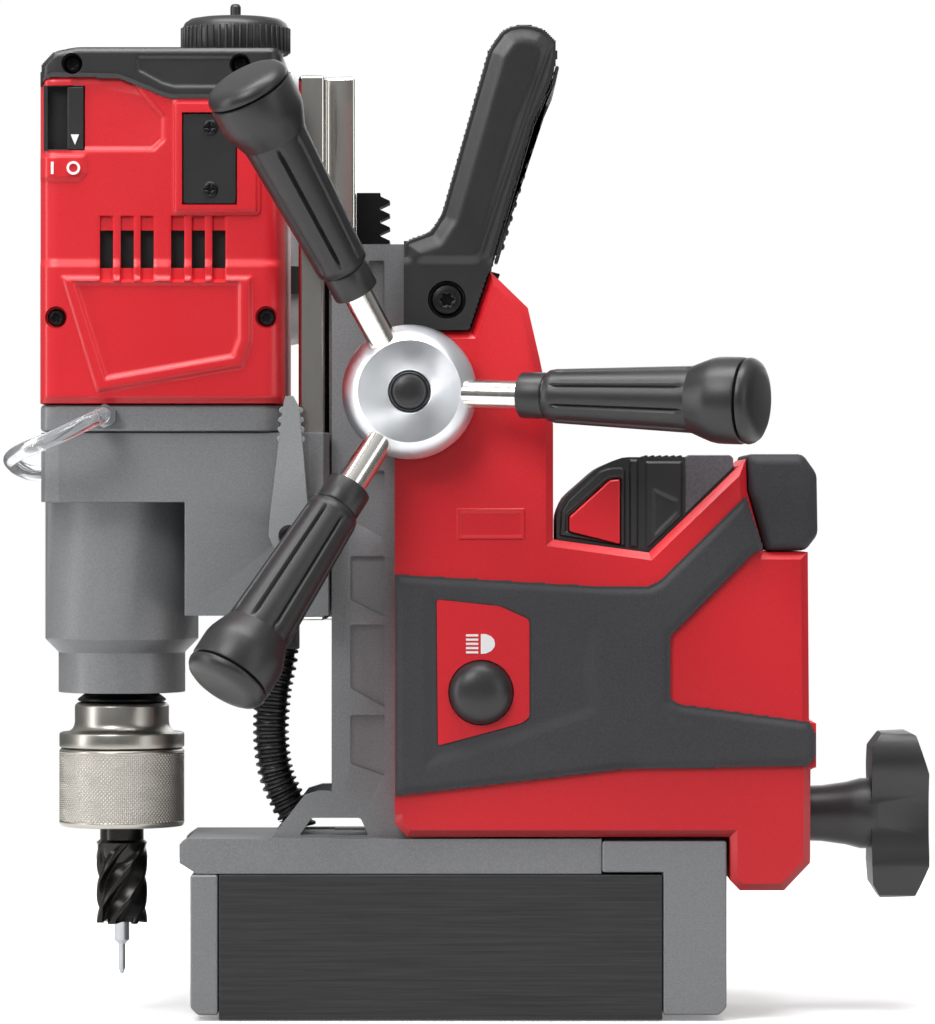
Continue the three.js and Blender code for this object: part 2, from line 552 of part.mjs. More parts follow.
function cutter() {
  const flutes = 6;
  const section = new THREE.Shape();
  for (let i = 0; i < flutes; i += 1) {
    const turns = [[0, 10.5], [0.45, 10.5], [0.55, 8.7], [0.8, 8.3], [0.95, 9.1]];
    turns.forEach(([part, r], k) => {
      const angle = 2 * Math.PI * (i + part) / flutes;
      const [x, y] = [r * Math.cos(angle), r * Math.sin(angle)];
      if (i === 0 && k === 0) section.moveTo(x, y);
      else section.lineTo(x, y);
    });
  }
  section.closePath();
  const length = 33.4;
  const geometry = new THREE.ExtrudeGeometry(section, { depth: length, steps: 9, bevelEnabled: false });
  const position = geometry.getAttribute('position');
  const perMillimetre = 2.7 / length;
  for (let i = 0; i < position.count; i += 1) {
    const spot = new THREE.Vector3().fromBufferAttribute(position, i);
    spot.applyAxisAngle(new THREE.Vector3(0, 0, 1), spot.z * perMillimetre);
    position.setXYZ(i, spot.x, spot.y, spot.z);
  }
  const fluted = solid(geometry.translate(SPINDLE_X, 0, 36.6));
  return cut(join(fluted, rod(9, 69, 90, onSpindle, 'Z', 24)), rod(3.6, 30, 100, onSpindle, 'Z', 16),
    rod(7, 30, 60, onSpindle, 'Z', 20));
}
const pilotPin = () => turned(
  [[0, 15.4], [0.5, 15.4], [1.4, 17.4], [1.4, 28], [3.17, 29.6], [3.17, 101], [0, 101]],
  onSpindle, 'Z', 16);

// ---- lock lever, coolant, conduit ----
function lockLever() {
  const [x, z] = [-61.1, 197.4];
  const arm = [[x - 8.4, z], [x - 5.6, z - 6], [x, z - 8.4], [x + 5.6, z - 6], [x + 8.4, z], [x + 8, z + 6],
    [x + 4, z + 52], [x + 1.4, z + 56.6], [x - 1.6, z + 56.4], [x - 2.6, z + 52], [x - 8, z + 6]];
  const boss = rod(6.5, 44.4, 49, [x, 0, z], '-Y');
  return join(sidePlate(arm, -54.5, -48), boss, rod(2.6, 34, 46, [x, 0, z], '-Y', 16));
}

const hoseFitting = () => join(turned([[0, 0], [5, 0], [5, 6], [0, 6]], [-136, -46.3, 246], '-Y', 6),
  rod(2.4, 5, 11, [-136, -46.3, 246], '-Y', 12));
const HOSE_ROUTE = [[-136, -58, 246], [-137, -63, 245.6], [-144, -68, 242], [-157, -67, 236], [-168, -58, 232],
  [-174.6, -40, 229], [-176, -18, 227], [-175.4, 8, 225], [-172, 32, 223.4], [-162, 52, 223], [-146, 64, 227],
  [-128, 72, 236], [-110, 78, 245], [-97, 80.6, 253], [-90.4, 81, 262], [-89, 81, 273.6]];
const coolantHose = () => swept(HOSE_ROUTE, 3.2, 36, 8);

function coolantBottle() {
  const { x, y, r } = BOTTLE;
  return turned([[0, 274], [5, 274], [5, 278], [24, 279], [r, 283], [r, 388], [27, 397], [17, 401.6],
    [17, 410], [14.6, 410], [14.6, 399.6], [25, 395], [r - 2, 387], [r - 2, 284], [23, 281], [0, 280.6]],
  [x, y, 0], 'Z', 20);
}
function bottleCap() {
  const body = turned([[0, 419.8], [18, 419.8], [23.8, 415.8], [23.8, 404], [17.4, 404], [17.4, 412],
    [0, 412]], [BOTTLE.x, BOTTLE.y, 0], 'Z', 24);
  return join(body, rod(2.3, 418, 426, [BOTTLE.x, BOTTLE.y, 0], 'Z', 12));
}
function bottleBracket() {
  const { x, y, r } = BOTTLE;
  const hoop = ring(r + GAP, r + 3, 300, 312, [x, y, 0], 'Z', 28);
  const arm = block(x - 12, x + 12, MOTOR.halfY + 1.2, y - r, 296, 330);
  return cut(join(hoop, arm), rod(r + GAP, 290, 340, [x, y, 0], 'Z', 28));
}

const conduitGland = () => cut(
  block(-76, -59, -9, 9, 150.3, 164.5), rod(7.9, 149, 156, [-66.6, 0, 0], 'Z', 20));
const CONDUIT_ROUTE = [[-66.6, 0, 155.6], [-67, 0, 146], [-69.6, 0, 132], [-70.6, 0, 115], [-68.6, 0, 99],
  [-63.6, 0, 87], [-60.2, 0, 81], [-59.4, 0, 76.2]];
const wiringConduit = () => swept(CONDUIT_ROUTE, 7.5, 16, 10);

// ---- assembly ----
add('magnet_block', magnetBlock(), BLACK);
add('front_end_plate', frontEndPlate(), CAST);
add('rear_end_block', rearEndBlock(), CAST);
add('column_casting', columnCasting(), CAST);
add('gib_near', gib(-1), BLACK);
add('gib_far', gib(1), BLACK);
add('hub_bushing_near', hubBushing(-1), BRASS);
add('hub_bushing_far', hubBushing(1), BRASS);
add('housing_near', housingHalf(-1), RED);
add('housing_far', housingHalf(1), RED);
add('overmould_near', overmould(-1), RUBBER);
add('overmould_far', overmould(1), RUBBER);
add('bay_cap', bayCap(), RUBBER);
add('light_panel', lightPanel(), RED);
add('light_button', lightButton(), BLACK);
add('carry_handle', carryHandle(), BLACK);
add('handle_grip', handleGrip(), RUBBER);
add('battery_case', batteryCase(), BLACK);
add('battery_latch_near', batteryLatch(-1), RED);
add('battery_latch_far', batteryLatch(1), RED);
add('battery_receiver', batteryReceiver(), BLACK);
add('control_board', controlBoard(), BOARD);
add('magnet_knob', magnetKnob(), BLACK);
add('knob_shaft', knobShaft(), STEEL);
add('pinion_shaft', pinionShaft(), STEEL);
add('feed_hub', feedHub(), STEEL);
add('hub_cap', hubCap(), BLACK);
SPOKE_ANGLES.forEach((angle, i) => {
  add(`feed_spoke_${i + 1}`, spoke(angle), NICKEL);
  add(`feed_grip_${i + 1}`, grip(angle), BLACK);
});
add('slide_rail', slideRail(), NICKEL);
add('feed_rack', rack(), DARK_STEEL);
add('gearbox_casting', gearboxCasting(), CAST);
add('gearbox_cover', gearboxCover(), CAST);
add('motor_housing_near', motorHalf(-1), RED);
add('motor_housing_far', motorHalf(1), RED);
add('motor_top_cap', topCap(), BLACK);
add('nameplate', nameplate(), BLACK);
add('power_slider', powerSlider(), BLACK);
add('motor_stator', stator(), COPPER);
add('motor_rotor', motorRotor(), STEEL);
add('spindle', spindle(), DARK_STEEL);
add('spindle_gear', spindleGear(), STEEL);
add('spindle_bearing_lower', bearing(136, 146), STEEL);
add('spindle_bearing_upper', bearing(204.5, 215), STEEL);
add('arbor', arbor(), NICKEL);
add('chuck_sleeve', chuckSleeve(), STEEL);
add('annular_cutter', cutter(), DARK_STEEL);
add('pilot_pin', pilotPin(), STEEL);
add('lock_lever', lockLever(), CAST);
add('hose_fitting', hoseFitting(), STEEL);
add('coolant_hose', coolantHose(), CLEAR);
add('coolant_bottle', coolantBottle(), CLEAR);
add('bottle_cap', bottleCap(), BLACK);
add('bottle_bracket', bottleBracket(), BLACK);
add('conduit_gland', conduitGland(), BLACK);
add('wiring_conduit', wiringConduit(), RUBBER);

export default model;
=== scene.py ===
import json
import math
import bmesh
import bpy
import numpy as np
from mathutils import Matrix, Vector


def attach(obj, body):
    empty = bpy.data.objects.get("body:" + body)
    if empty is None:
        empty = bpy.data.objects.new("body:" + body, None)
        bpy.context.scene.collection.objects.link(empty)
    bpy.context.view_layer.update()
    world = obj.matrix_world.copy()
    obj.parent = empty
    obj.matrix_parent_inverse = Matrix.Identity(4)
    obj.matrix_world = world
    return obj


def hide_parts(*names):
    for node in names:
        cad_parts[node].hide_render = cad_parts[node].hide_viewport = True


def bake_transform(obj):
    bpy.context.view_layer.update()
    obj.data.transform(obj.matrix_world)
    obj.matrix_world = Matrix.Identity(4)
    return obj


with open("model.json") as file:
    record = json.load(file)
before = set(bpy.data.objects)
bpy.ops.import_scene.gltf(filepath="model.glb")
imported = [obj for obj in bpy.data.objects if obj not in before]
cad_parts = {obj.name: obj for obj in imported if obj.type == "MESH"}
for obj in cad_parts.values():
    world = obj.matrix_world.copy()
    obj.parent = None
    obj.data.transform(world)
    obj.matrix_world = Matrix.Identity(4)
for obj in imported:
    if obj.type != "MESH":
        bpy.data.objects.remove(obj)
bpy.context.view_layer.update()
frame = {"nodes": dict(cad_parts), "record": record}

MM = 0.001
UP = (0, 0, 1)
TO_NEAR = (0, -1, 0)            # towards the near side, which the camera faces
NODE_BODY = {node: body for body, nodes in frame["record"]["behaviour"]["bodies"].items() for node in nodes}
NODE_SLOT = {part["node"]: part["material_slot"] for part in frame["record"]["subparts"]}


# ---------------------------------------------------------------- material tools
def linear(hex_colour):
    """An sRGB hex colour as linear RGBA."""
    parts = [int(hex_colour[i:i + 2], 16) / 255 for i in (1, 3, 5)]
    return [c / 12.92 if c <= 0.04045 else ((c + 0.055) / 1.055) ** 2.4 for c in parts] + [1.0]


def add_node(tree, kind, links=(), into=None, stops=(), **settings):
    """Adds a node with its settings. links pairs an input's name or number with a socket or a value,
    into is the input that takes its first output, and stops are a colour ramp's places and hex colours."""
    made = tree.nodes.new(kind)
    for key, value in settings.items():
        setattr(made, key, value)
    for name, value in dict(links).items():
        if isinstance(value, bpy.types.NodeSocket):
            tree.links.new(value, made.inputs[name])
        else:
            made.inputs[name].default_value = value
    for number, (place, colour) in enumerate(stops):
        made.color_ramp.elements[number].position = place
        made.color_ramp.elements[number].color = linear(colour)
    if into is not None:
        tree.links.new(made.outputs[0], into)
    return made


def begin(name, hex_colour, roughness, metallic=0.0, **sockets):
    """A new material: itself, its tree, its shader and the object coordinates in metres."""
    material = bpy.data.materials.new(name)
    material.use_nodes = True
    tree = material.node_tree
    shader = tree.nodes["Principled BSDF"]
    shader.inputs["Base Color"].default_value = linear(hex_colour)
    shader.inputs["Roughness"].default_value = roughness
    shader.inputs["Metallic"].default_value = metallic
    for socket, value in sockets.items():
        shader.inputs[socket.replace("_", " ").title().replace("Ior", "IOR")].default_value = value
    place = add_node(tree, "ShaderNodeTexCoord").outputs["Object"]
    return material, tree, shader, place


# ---------------------------------------------------------------- camera, light and floor
NEAR_FACE_Y = -42 * MM          # the plane that the framing is set for
CAMERA_DISTANCE = 2.06          # from that plane, in metres
FRAME_WIDTH = 380.5 * MM        # width in view in that plane
FRAME_CENTRE = Vector((11 * MM, 0, 207 * MM))
SENSOR = 36
LIGHT_AIM = Vector((0, 0, 0.2))
LIGHTS = [("key", (-0.6, -0.95, 1.05), (0.5, 0.5), 9.5), ("fill", (1.3, -1.3, 0.45), (0.6, 1.2), 5),
          ("strip", (-1.3, -0.35, 0.3), (0.2, 1.4), 8), ("top", (-0.1, -0.3, 1.4), (1.2, 0.4), 17),
          ("back", (0.6, 1.8, 0.9), (1.4, 1.0), 8)]     # name, place and size in metres, power in watts
FLOOR_RADIUS = 0.95
FLOOR_DROP = 0.5 * MM


def make_camera():
    data = bpy.data.cameras.new("camera")
    data.sensor_fit = "HORIZONTAL"
    data.sensor_width = SENSOR
    data.lens = SENSOR * CAMERA_DISTANCE / FRAME_WIDTH
    data.clip_end = 20
    camera = bpy.data.objects.new("camera", data)
    camera.location = (FRAME_CENTRE.x, NEAR_FACE_Y - CAMERA_DISTANCE, FRAME_CENTRE.z)
    camera.rotation_euler = (math.pi / 2, 0, 0)
    bpy.context.scene.collection.objects.link(camera)
    bpy.context.scene.camera = camera


def make_lights():
    """Five soft lamps, and a sky that is brighter overhead but plain white to the camera."""
    for name, place, size, power in LIGHTS:
        data = bpy.data.lights.new(name, "AREA")
        data.shape = "RECTANGLE"
        data.size, data.size_y = size
        data.energy = power
        light = bpy.data.objects.new(name, data)
        light.location = place
        light.rotation_euler = (LIGHT_AIM - Vector(place)).to_track_quat("-Z", "Y").to_euler()
        bpy.context.scene.collection.objects.link(light)
    world = bpy.data.worlds.new("studio")
    bpy.context.scene.world = world
    world.use_nodes = True
    tree = world.node_tree
    sky = tree.nodes["Background"]
    sky.inputs["Color"].default_value = (1, 1, 1, 1)
    direction = add_node(tree, "ShaderNodeTexCoord")
    height = add_node(tree, "ShaderNodeSeparateXYZ", {0: direction.outputs["Generated"]})
    add_node(tree, "ShaderNodeMapRange", {"Value": height.outputs["Z"], "From Min": -0.1, "From Max": 0.9,
                                          "To Min": 0.13, "To Max": 0.75}, sky.inputs["Strength"])
    seen = add_node(tree, "ShaderNodeLightPath")
    white = add_node(tree, "ShaderNodeBackground", {"Color": (1, 1, 1, 1)})
    add_node(tree, "ShaderNodeMixShader", {0: seen.outputs["Is Camera Ray"], 1: sky.outputs[0],
                                           2: white.outputs[0]}, tree.nodes["World Output"].inputs["Surface"])


def make_floor():
    """A pale round floor that lights nothing above it."""
    mesh = bpy.data.meshes.new("floor")
    edge = [(FLOOR_RADIUS * math.cos(a), FLOOR_RADIUS * math.sin(a), -FLOOR_DROP)
            for a in np.linspace(0, 2 * math.pi, 96, False)]
    mesh.from_pydata(edge, [], [tuple(range(len(edge)))])
    mesh.materials.append(begin("floor_paint", "#f7f7f7", 0.9, emission_color=(1, 1, 1, 1),
                                emission_strength=0.2)[0])
    floor = bpy.data.objects.new("floor", mesh)
    bpy.context.scene.collection.objects.link(floor)
    floor.visible_diffuse = False


make_camera()
make_lights()
make_floor()
bpy.context.scene.view_settings.view_transform = "Standard"


# ---------------------------------------------------------------- materials
def grained(tree, shader, place, size, depth, vary, roughness, tones):
    """Moulded or painted surface: a bumpy grain between two close tones, and roughness that varies in
    patches. Sizes are in mm. A real mould's grain is about 0.1 mm, drawn coarser here so that it shows."""
    grain = add_node(tree, "ShaderNodeTexNoise", {"Vector": place, "Scale": 1 / (size * MM), "Detail": 2.0})
    add_node(tree, "ShaderNodeBump", {"Height": grain.outputs["Fac"], "Strength": depth,
                                      "Distance": 0.2 * MM}, shader.inputs["Normal"])
    patches = add_node(tree, "ShaderNodeTexNoise", {"Vector": place, "Scale": 1 / (vary * MM), "Detail": 3.0})
    add_node(tree, "ShaderNodeMapRange", {"Value": patches.outputs["Fac"], "To Min": roughness[0],
                                          "To Max": roughness[1]}, shader.inputs["Roughness"])
    add_node(tree, "ShaderNodeValToRGB", {"Fac": grain.outputs["Fac"]}, shader.inputs["Base Color"],
             [(0.35, tones[0]), (0.7, tones[1])])


def moulded(name, tones, size, depth, roughness, vary=20, ior=1.5):
    """Moulded plastic or rubber, a die casting or a print, all with a grain and two close tones."""
    material, tree, shader, place = begin(name, tones[0], roughness[0], ior=ior)
    grained(tree, shader, place, size, depth, vary, roughness, tones)
    return material


def painted_casting_grey():
    """Aluminium casting in satin grey powder coat: slight orange peel and a faint metallic fleck."""
    material, tree, shader, place = begin("painted_casting_grey", "#77787a", 0.45, 0.25, ior=1.5)
    grained(tree, shader, place, 0.7, 0.16, 30, (0.38, 0.5), ("#7c7d7f", "#8b8c8e"))
    flecks = add_node(tree, "ShaderNodeTexVoronoi", {"Vector": place, "Scale": 1 / (0.5 * MM)})
    add_node(tree, "ShaderNodeMapRange", {"Value": flecks.outputs["Distance"], "From Max": 0.25,
                                          "To Min": 0.55, "To Max": 0.2}, shader.inputs["Metallic"])
    return material


def brushed_black_magnet():
    """Black painted steel, rubbed along its length: near black with fine level streaks."""
    material, tree, shader, place = begin("brushed_black_magnet", "#1a1a1c", 0.45, 0.1)
    stretched = add_node(tree, "ShaderNodeMapping", {"Vector": place, "Scale": (18, 400, 900)})
    streaks = add_node(tree, "ShaderNodeTexNoise", {"Vector": stretched.outputs["Vector"], "Scale": 1.0,
                                                    "Detail": 4.0, "Roughness": 0.65})
    add_node(tree, "ShaderNodeValToRGB", {"Fac": streaks.outputs["Fac"]}, shader.inputs["Base Color"],
             [(0.35, "#0b0b0c"), (0.72, "#2e2e30")])
    add_node(tree, "ShaderNodeBump", {"Height": streaks.outputs["Fac"], "Strength": 0.35,
                                      "Distance": 0.2 * MM}, shader.inputs["Normal"])
    return material


def polished_nickel():
    """Nickel plate on ground steel: bright and slightly warm, with faint lengthwise grinding."""
    material, tree, shader, place = begin("polished_nickel", "#d8d5cf", 0.16, 1.0)
    stretched = add_node(tree, "ShaderNodeMapping", {"Vector": place, "Scale": (1500, 1500, 25)})
    lines = add_node(tree, "ShaderNodeTexNoise", {"Vector": stretched.outputs["Vector"], "Scale": 1.0,
                                                  "Detail": 2.0})
    add_node(tree, "ShaderNodeMapRange", {"Value": lines.outputs["Fac"], "To Min": 0.08, "To Max": 0.26},
             shader.inputs["Roughness"])
    add_node(tree, "ShaderNodeBump", {"Height": lines.outputs["Fac"], "Strength": 0.06,
                                      "Distance": 0.1 * MM}, shader.inputs["Normal"])
    return material


def turned_metal(name, hex_colour, roughness, centre, plane, pitch, stretch):
    """Lathe-turned metal: rings round a centre that fan the highlight out along radii. Real rings are about
    0.1 mm apart; the pitch, in mm, is coarser so that they show."""
    material, tree, shader, place = begin(name, hex_colour, roughness, 1.0, anisotropic=stretch)
    from_centre = add_node(tree, "ShaderNodeVectorMath", {0: place, 1: [v * MM for v in centre]},
                           operation="SUBTRACT")
    flat = add_node(tree, "ShaderNodeVectorMath", {0: from_centre.outputs["Vector"], 1: plane},
                    operation="MULTIPLY")
    add_node(tree, "ShaderNodeVectorMath", {0: [1 - v for v in plane], 1: flat.outputs["Vector"]},
             shader.inputs["Tangent"], operation="CROSS_PRODUCT")
    radius = add_node(tree, "ShaderNodeVectorMath", {0: flat.outputs["Vector"]}, operation="LENGTH")
    turns = add_node(tree, "ShaderNodeMath", {0: radius.outputs["Value"], 1: 2 * math.pi / (pitch * MM)},
                     operation="MULTIPLY")
    rings = add_node(tree, "ShaderNodeMath", {0: turns.outputs["Value"]}, operation="SINE")
    add_node(tree, "ShaderNodeBump", {"Height": rings.outputs["Value"], "Strength": 0.12,
                                      "Distance": 0.05 * MM}, shader.inputs["Normal"])
    blotches = add_node(tree, "ShaderNodeTexNoise", {"Vector": place, "Scale": 1 / (6 * MM)})
    add_node(tree, "ShaderNodeMapRange", {"Value": blotches.outputs["Fac"], "To Min": roughness * 0.8,
                                          "To Max": roughness * 1.25}, shader.inputs["Roughness"])
    return material


def ground_metal(name, hex_colour, roughness, metallic=1.0):
    """Ground, plated or oxidised metal: even tone broken by fine scratches of about a quarter millimetre."""
    material, tree, shader, place = begin(name, hex_colour, roughness, metallic)
    scratches = add_node(tree, "ShaderNodeTexNoise", {"Vector": place, "Scale": 1 / (0.25 * MM),
                                                      "Detail": 3.0})
    add_node(tree, "ShaderNodeMapRange", {"Value": scratches.outputs["Fac"], "To Min": roughness * 0.75,
                                          "To Max": roughness * 1.3}, shader.inputs["Roughness"])
    add_node(tree, "ShaderNodeBump", {"Height": scratches.outputs["Fac"], "Strength": 0.08,
                                      "Distance": 0.1 * MM}, shader.inputs["Normal"])
    return material


def clear_vinyl():
    """Clear vinyl hose: water-clear, with bright edges and a slight haze."""
    material, tree, shader, place = begin("clear_vinyl", "#eef1f3", 0.08, ior=1.45, transmission_weight=0.92)
    haze = add_node(tree, "ShaderNodeTexNoise", {"Vector": place, "Scale": 1 / (4 * MM)})
    add_node(tree, "ShaderNodeMapRange", {"Value": haze.outputs["Fac"], "To Min": 0.04, "To Max": 0.14},
             shader.inputs["Roughness"])
    return material


def milky_polyethylene():
    """Blown polyethylene bottle: milky white that lets some light through, with soft highlights."""
    material, tree, shader, place = begin("milky_polyethylene", "#e8ebec", 0.35, ior=1.5,
                                          transmission_weight=0.35)
    cloud = add_node(tree, "ShaderNodeTexNoise", {"Vector": place, "Scale": 1 / (12 * MM)})
    add_node(tree, "ShaderNodeValToRGB", {"Fac": cloud.outputs["Fac"]}, shader.inputs["Base Color"],
             [(0.3, "#dfe3e4"), (0.7, "#f0f2f2")])
    return material


HUB_X, HUB_Z = -12.4, 255.6
SPINDLE = (-132.5, 0, 0)
# glass-filled nylon from a spark-eroded mould: a satin sheen and a very fine grain, red and charcoal
RED = moulded("glass_filled_nylon_red", ("#cf1a25", "#d9212c"), 0.45, 0.10, (0.32, 0.42), 25, 1.53)
BLACK = moulded("glass_filled_nylon_black", ("#18181a", "#212123"), 0.5, 0.16, (0.34, 0.46), ior=1.53)
# thermoplastic rubber over the shell: dark grey, nearly matt, with a pebbled grain
RUBBER = moulded("moulded_rubber_charcoal", ("#27272a", "#353538"), 0.55, 0.3, (0.6, 0.75), 18)
# soft rubber of grips and buttons: black, with broad dull highlights
SOFT = moulded("soft_rubber_black", ("#1b1b1d", "#242426"), 0.6, 0.14, (0.34, 0.46), 15)
CAST = painted_casting_grey()
MAGNET = brushed_black_magnet()
NICKEL = polished_nickel()
TURNED = turned_metal("turned_aluminium", "#dadde1", 0.36, (HUB_X, 0, HUB_Z), (1, 0, 1), 0.9, 0.85)
TURNED_NICKEL = turned_metal("turned_nickel", "#9a9791", 0.3, SPINDLE, (1, 1, 0), 0.8, 0.4)
KNURLED = ground_metal("knurled_nickel", "#a5a19a", 0.32)           # warm grey, bright on its points
STEEL = ground_metal("ground_steel", "#a9abae", 0.3)                # cool grey with a soft shine
BLACK_STEEL = ground_metal("black_oxide_steel", "#1c1c1e", 0.38, 0.7)       # near black, a dull shine
TOOL_STEEL = ground_metal("coated_tool_steel", "#302f2e", 0.24)     # dark and glossy
BRONZE = ground_metal("sintered_bronze", "#b98d3f", 0.4)            # dull gold
COPPER = ground_metal("enamelled_copper", "#a5592c", 0.35)          # warm red brown
# bead-blasted zinc die casting: pale grey and even
ZINC = moulded("zinc_die_casting", ("#8f9091", "#9c9d9e"), 0.6, 0.1, (0.35, 0.45))
# the battery's ABS: blacker and duller than the nylon
PACK = moulded("battery_abs_black", ("#161618", "#1d1d1f"), 0.5, 0.12, (0.4, 0.52))
# tinted polycarbonate window: mid grey with a clean shine
SMOKE = moulded("smoky_polycarbonate", ("#5f5c61", "#6c696e"), 0.8, 0.05, (0.2, 0.3))
# solder resist on a circuit board: deep green, glossy
BOARD = moulded("solder_resist_green", ("#17522c", "#1f6438"), 1.5, 0.05, (0.3, 0.45))
# pad print: flat white
PRINT = moulded("white_pad_print", ("#eeeeee", "#f7f7f7"), 0.5, 0.03, (0.5, 0.6))
# extruded nylon conduit: black with a sharp sheen on its ribs
CONDUIT = moulded("corrugated_nylon_black", ("#151516", "#1e1e20"), 0.6, 0.08, (0.35, 0.45))
# painted shade: black without a shine, for unlit insides and gaps where no light reaches
PAINTED_SHADE = moulded("painted_shade_black", ("#020202", "#040404"), 1.0, 0.05, (0.7, 0.8))
HOSE = clear_vinyl()
BOTTLE = milky_polyethylene()

SLOT_MATERIAL = {
    "magnet_steel": MAGNET, "cast_grey": CAST, "gib_black": BLACK_STEEL, "bronze": BRONZE, "red_nylon": RED,
    "rubber_grip": RUBBER, "black_rubber": SOFT, "black_nylon": BLACK, "battery_plastic": PACK,
    "circuit_board": BOARD, "steel": STEEL, "turned_aluminium": TURNED, "nickel_steel": NICKEL,
    "knurled_steel": KNURLED, "black_steel": BLACK_STEEL, "tool_steel": TOOL_STEEL, "copper_winding": COPPER,
    "clear_hose": HOSE, "bottle_plastic": BOTTLE, "conduit_black": CONDUIT}


# ---------------------------------------------------------------- shape tools
def place_piece(name, mesh, body, slot, material=None, stands_for=()):
    """Puts a finished mesh into the scene with its slot's material and hides the CAD nodes it stands for. The
    material is the slot's own unless one is given; body may be None."""
    mesh.materials.clear()
    mesh.materials.append(material or SLOT_MATERIAL[slot])
    for face in mesh.polygons:
        face.material_index = 0
    piece = bpy.data.objects.new(name, mesh)
    bpy.context.scene.collection.objects.link(piece)
    if body:
        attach(piece, body)
    if stands_for:
        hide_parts(*stands_for)
    return piece


def stand_in(name, mesh, node, material=None):
    """Puts a finished mesh on the body of the one CAD node that it replaces, with that node's slot material,
    and hides the node.
    """
    return place_piece(name, mesh, NODE_BODY[node], NODE_SLOT[node], material, (node,))


def mesh_of(bm, name, smooth_angle=35):
    """A mesh from a bmesh, smooth but for edges sharper than an angle in degrees."""
    mesh = bpy.data.meshes.new(name)
    bm.normal_update()
    bm.to_mesh(mesh)
    bm.free()
    mesh.shade_smooth()
    mesh.set_sharp_from_angle(angle=math.radians(smooth_angle))
    return mesh


def modified(mesh, *modifiers):
    """The mesh after modifiers, each given as its type and its settings."""
    holder = bpy.data.objects.new("holder", mesh)
    bpy.context.scene.collection.objects.link(holder)
    for kind, settings in modifiers:
        made = holder.modifiers.new(kind.lower(), kind)
        for key, value in settings.items():
            setattr(made, key, value)
    shaped = bpy.data.meshes.new_from_object(holder.evaluated_get(bpy.context.evaluated_depsgraph_get()))
    holder.modifiers.clear()
    bpy.data.objects.remove(holder)
    return shaped


def rounded_edges(mesh, width, segments=2):
    """The mesh with its edges rounded over a width in mm."""
    return modified(mesh, ("BEVEL", {"width": width * MM, "segments": segments, "limit_method": "ANGLE",
                                     "angle_limit": math.radians(32), "harden_normals": True,
                                     "use_clamp_overlap": True}))


def cad_copy(node):
    """A CAD node's shape as a clean mesh: doubles merged and flat areas joined into single faces."""
    bm = bmesh.new()
    bm.from_mesh(frame["nodes"][node].data)
    bmesh.ops.remove_doubles(bm, verts=bm.verts, dist=2e-6)
    bmesh.ops.dissolve_limit(bm, angle_limit=math.radians(1.0), verts=bm.verts, edges=bm.edges)
    return mesh_of(bm, node)


def rounded_outline(points, radius, steps=5):
    """A closed outline with each corner replaced by a short curve."""
    made = []
    corners = [Vector(p) for p in points]
    for i, corner in enumerate(corners):
        before, after = corners[i - 1], corners[(i + 1) % len(corners)]
        reach = min(radius, (corner - before).length / 2.01, (corner - after).length / 2.01)
        start = corner + (before - corner).normalized() * reach
        end = corner + (after - corner).normalized() * reach
        for k in range(steps + 1):
            t = k / steps
            made.append(start * (1 - t) ** 2 + corner * 2 * t * (1 - t) + end * t ** 2)
    return made


def prism(points, low, high, radius=0.0, axis="Y"):
    """A mesh prism in mm: an outline in the two other axes, from low to high along one axis."""
    corners = rounded_outline(points, radius) if radius else [Vector(p) for p in points]
    order = {"X": lambda p, d: (d, p[0], p[1]), "Y": lambda p, d: (p[0], d, p[1]),
             "Z": lambda p, d: (p[0], p[1], d)}[axis]
    bm = bmesh.new()
    rings = [[bm.verts.new(Vector(order(p, d)) * MM) for p in corners] for d in (low, high)]
    bm.faces.new(rings[0])
    bm.faces.new(rings[1])
    for i in range(len(corners)):
        j = (i + 1) % len(corners)
        bm.faces.new((rings[0][i], rings[0][j], rings[1][j], rings[1][i]))
    bmesh.ops.recalc_face_normals(bm, faces=bm.faces)
    return mesh_of(bm, "prism")


def round_surface(profile, at, axis, sides, shape=lambda turn, radius, along: radius, smooth_angle=35):
    """A turned mesh in mm: [radius, distance] pairs about an axis; shape may vary the radius."""
    direction = Vector(axis).normalized()
    turn_to = Vector((0, 0, 1)).rotation_difference(direction).to_matrix()
    origin = Vector(at)
    bm = bmesh.new()
    rings = []
    for radius, along in profile:
        if radius <= 0:
            rings.append([bm.verts.new((origin + direction * along) * MM)])
            continue
        ring = []
        for k in range(sides):
            turn = 2 * math.pi * k / sides
            r = shape(turn, radius, along)
            spot = Vector((r * math.cos(turn), r * math.sin(turn), along))
            ring.append(bm.verts.new((origin + turn_to @ spot) * MM))
        rings.append(ring)
    closed = profile[0][0] > 0
    pairs = list(zip(rings, rings[1:])) + ([(rings[-1], rings[0])] if closed else [])
    for low, high in pairs:
        for k in range(sides):
            j = (k + 1) % sides
            corners = [low[k % len(low)], low[j % len(low)], high[j % len(high)], high[k % len(high)]]
            corners = list(dict.fromkeys(corners))
            if len(corners) > 2:
                bm.faces.new(corners)
    bmesh.ops.recalc_face_normals(bm, faces=bm.faces)
    return mesh_of(bm, "round", smooth_angle)


def joined(*meshes):
    """One mesh of several that may overlap."""
    bm = bmesh.new()
    for mesh in meshes:
        bm.from_mesh(mesh)
    return mesh_of(bm, "joined")


def carved(mesh, tool, operation="DIFFERENCE"):
    """The mesh with a tool mesh cut away or added."""
    cutter = bpy.data.objects.new("cutter", tool)
    bpy.context.scene.collection.objects.link(cutter)
    shaped = modified(mesh, ("BOOLEAN", {"object": cutter, "operation": operation, "solver": "EXACT"}))
    bpy.data.objects.remove(cutter)
    return shaped


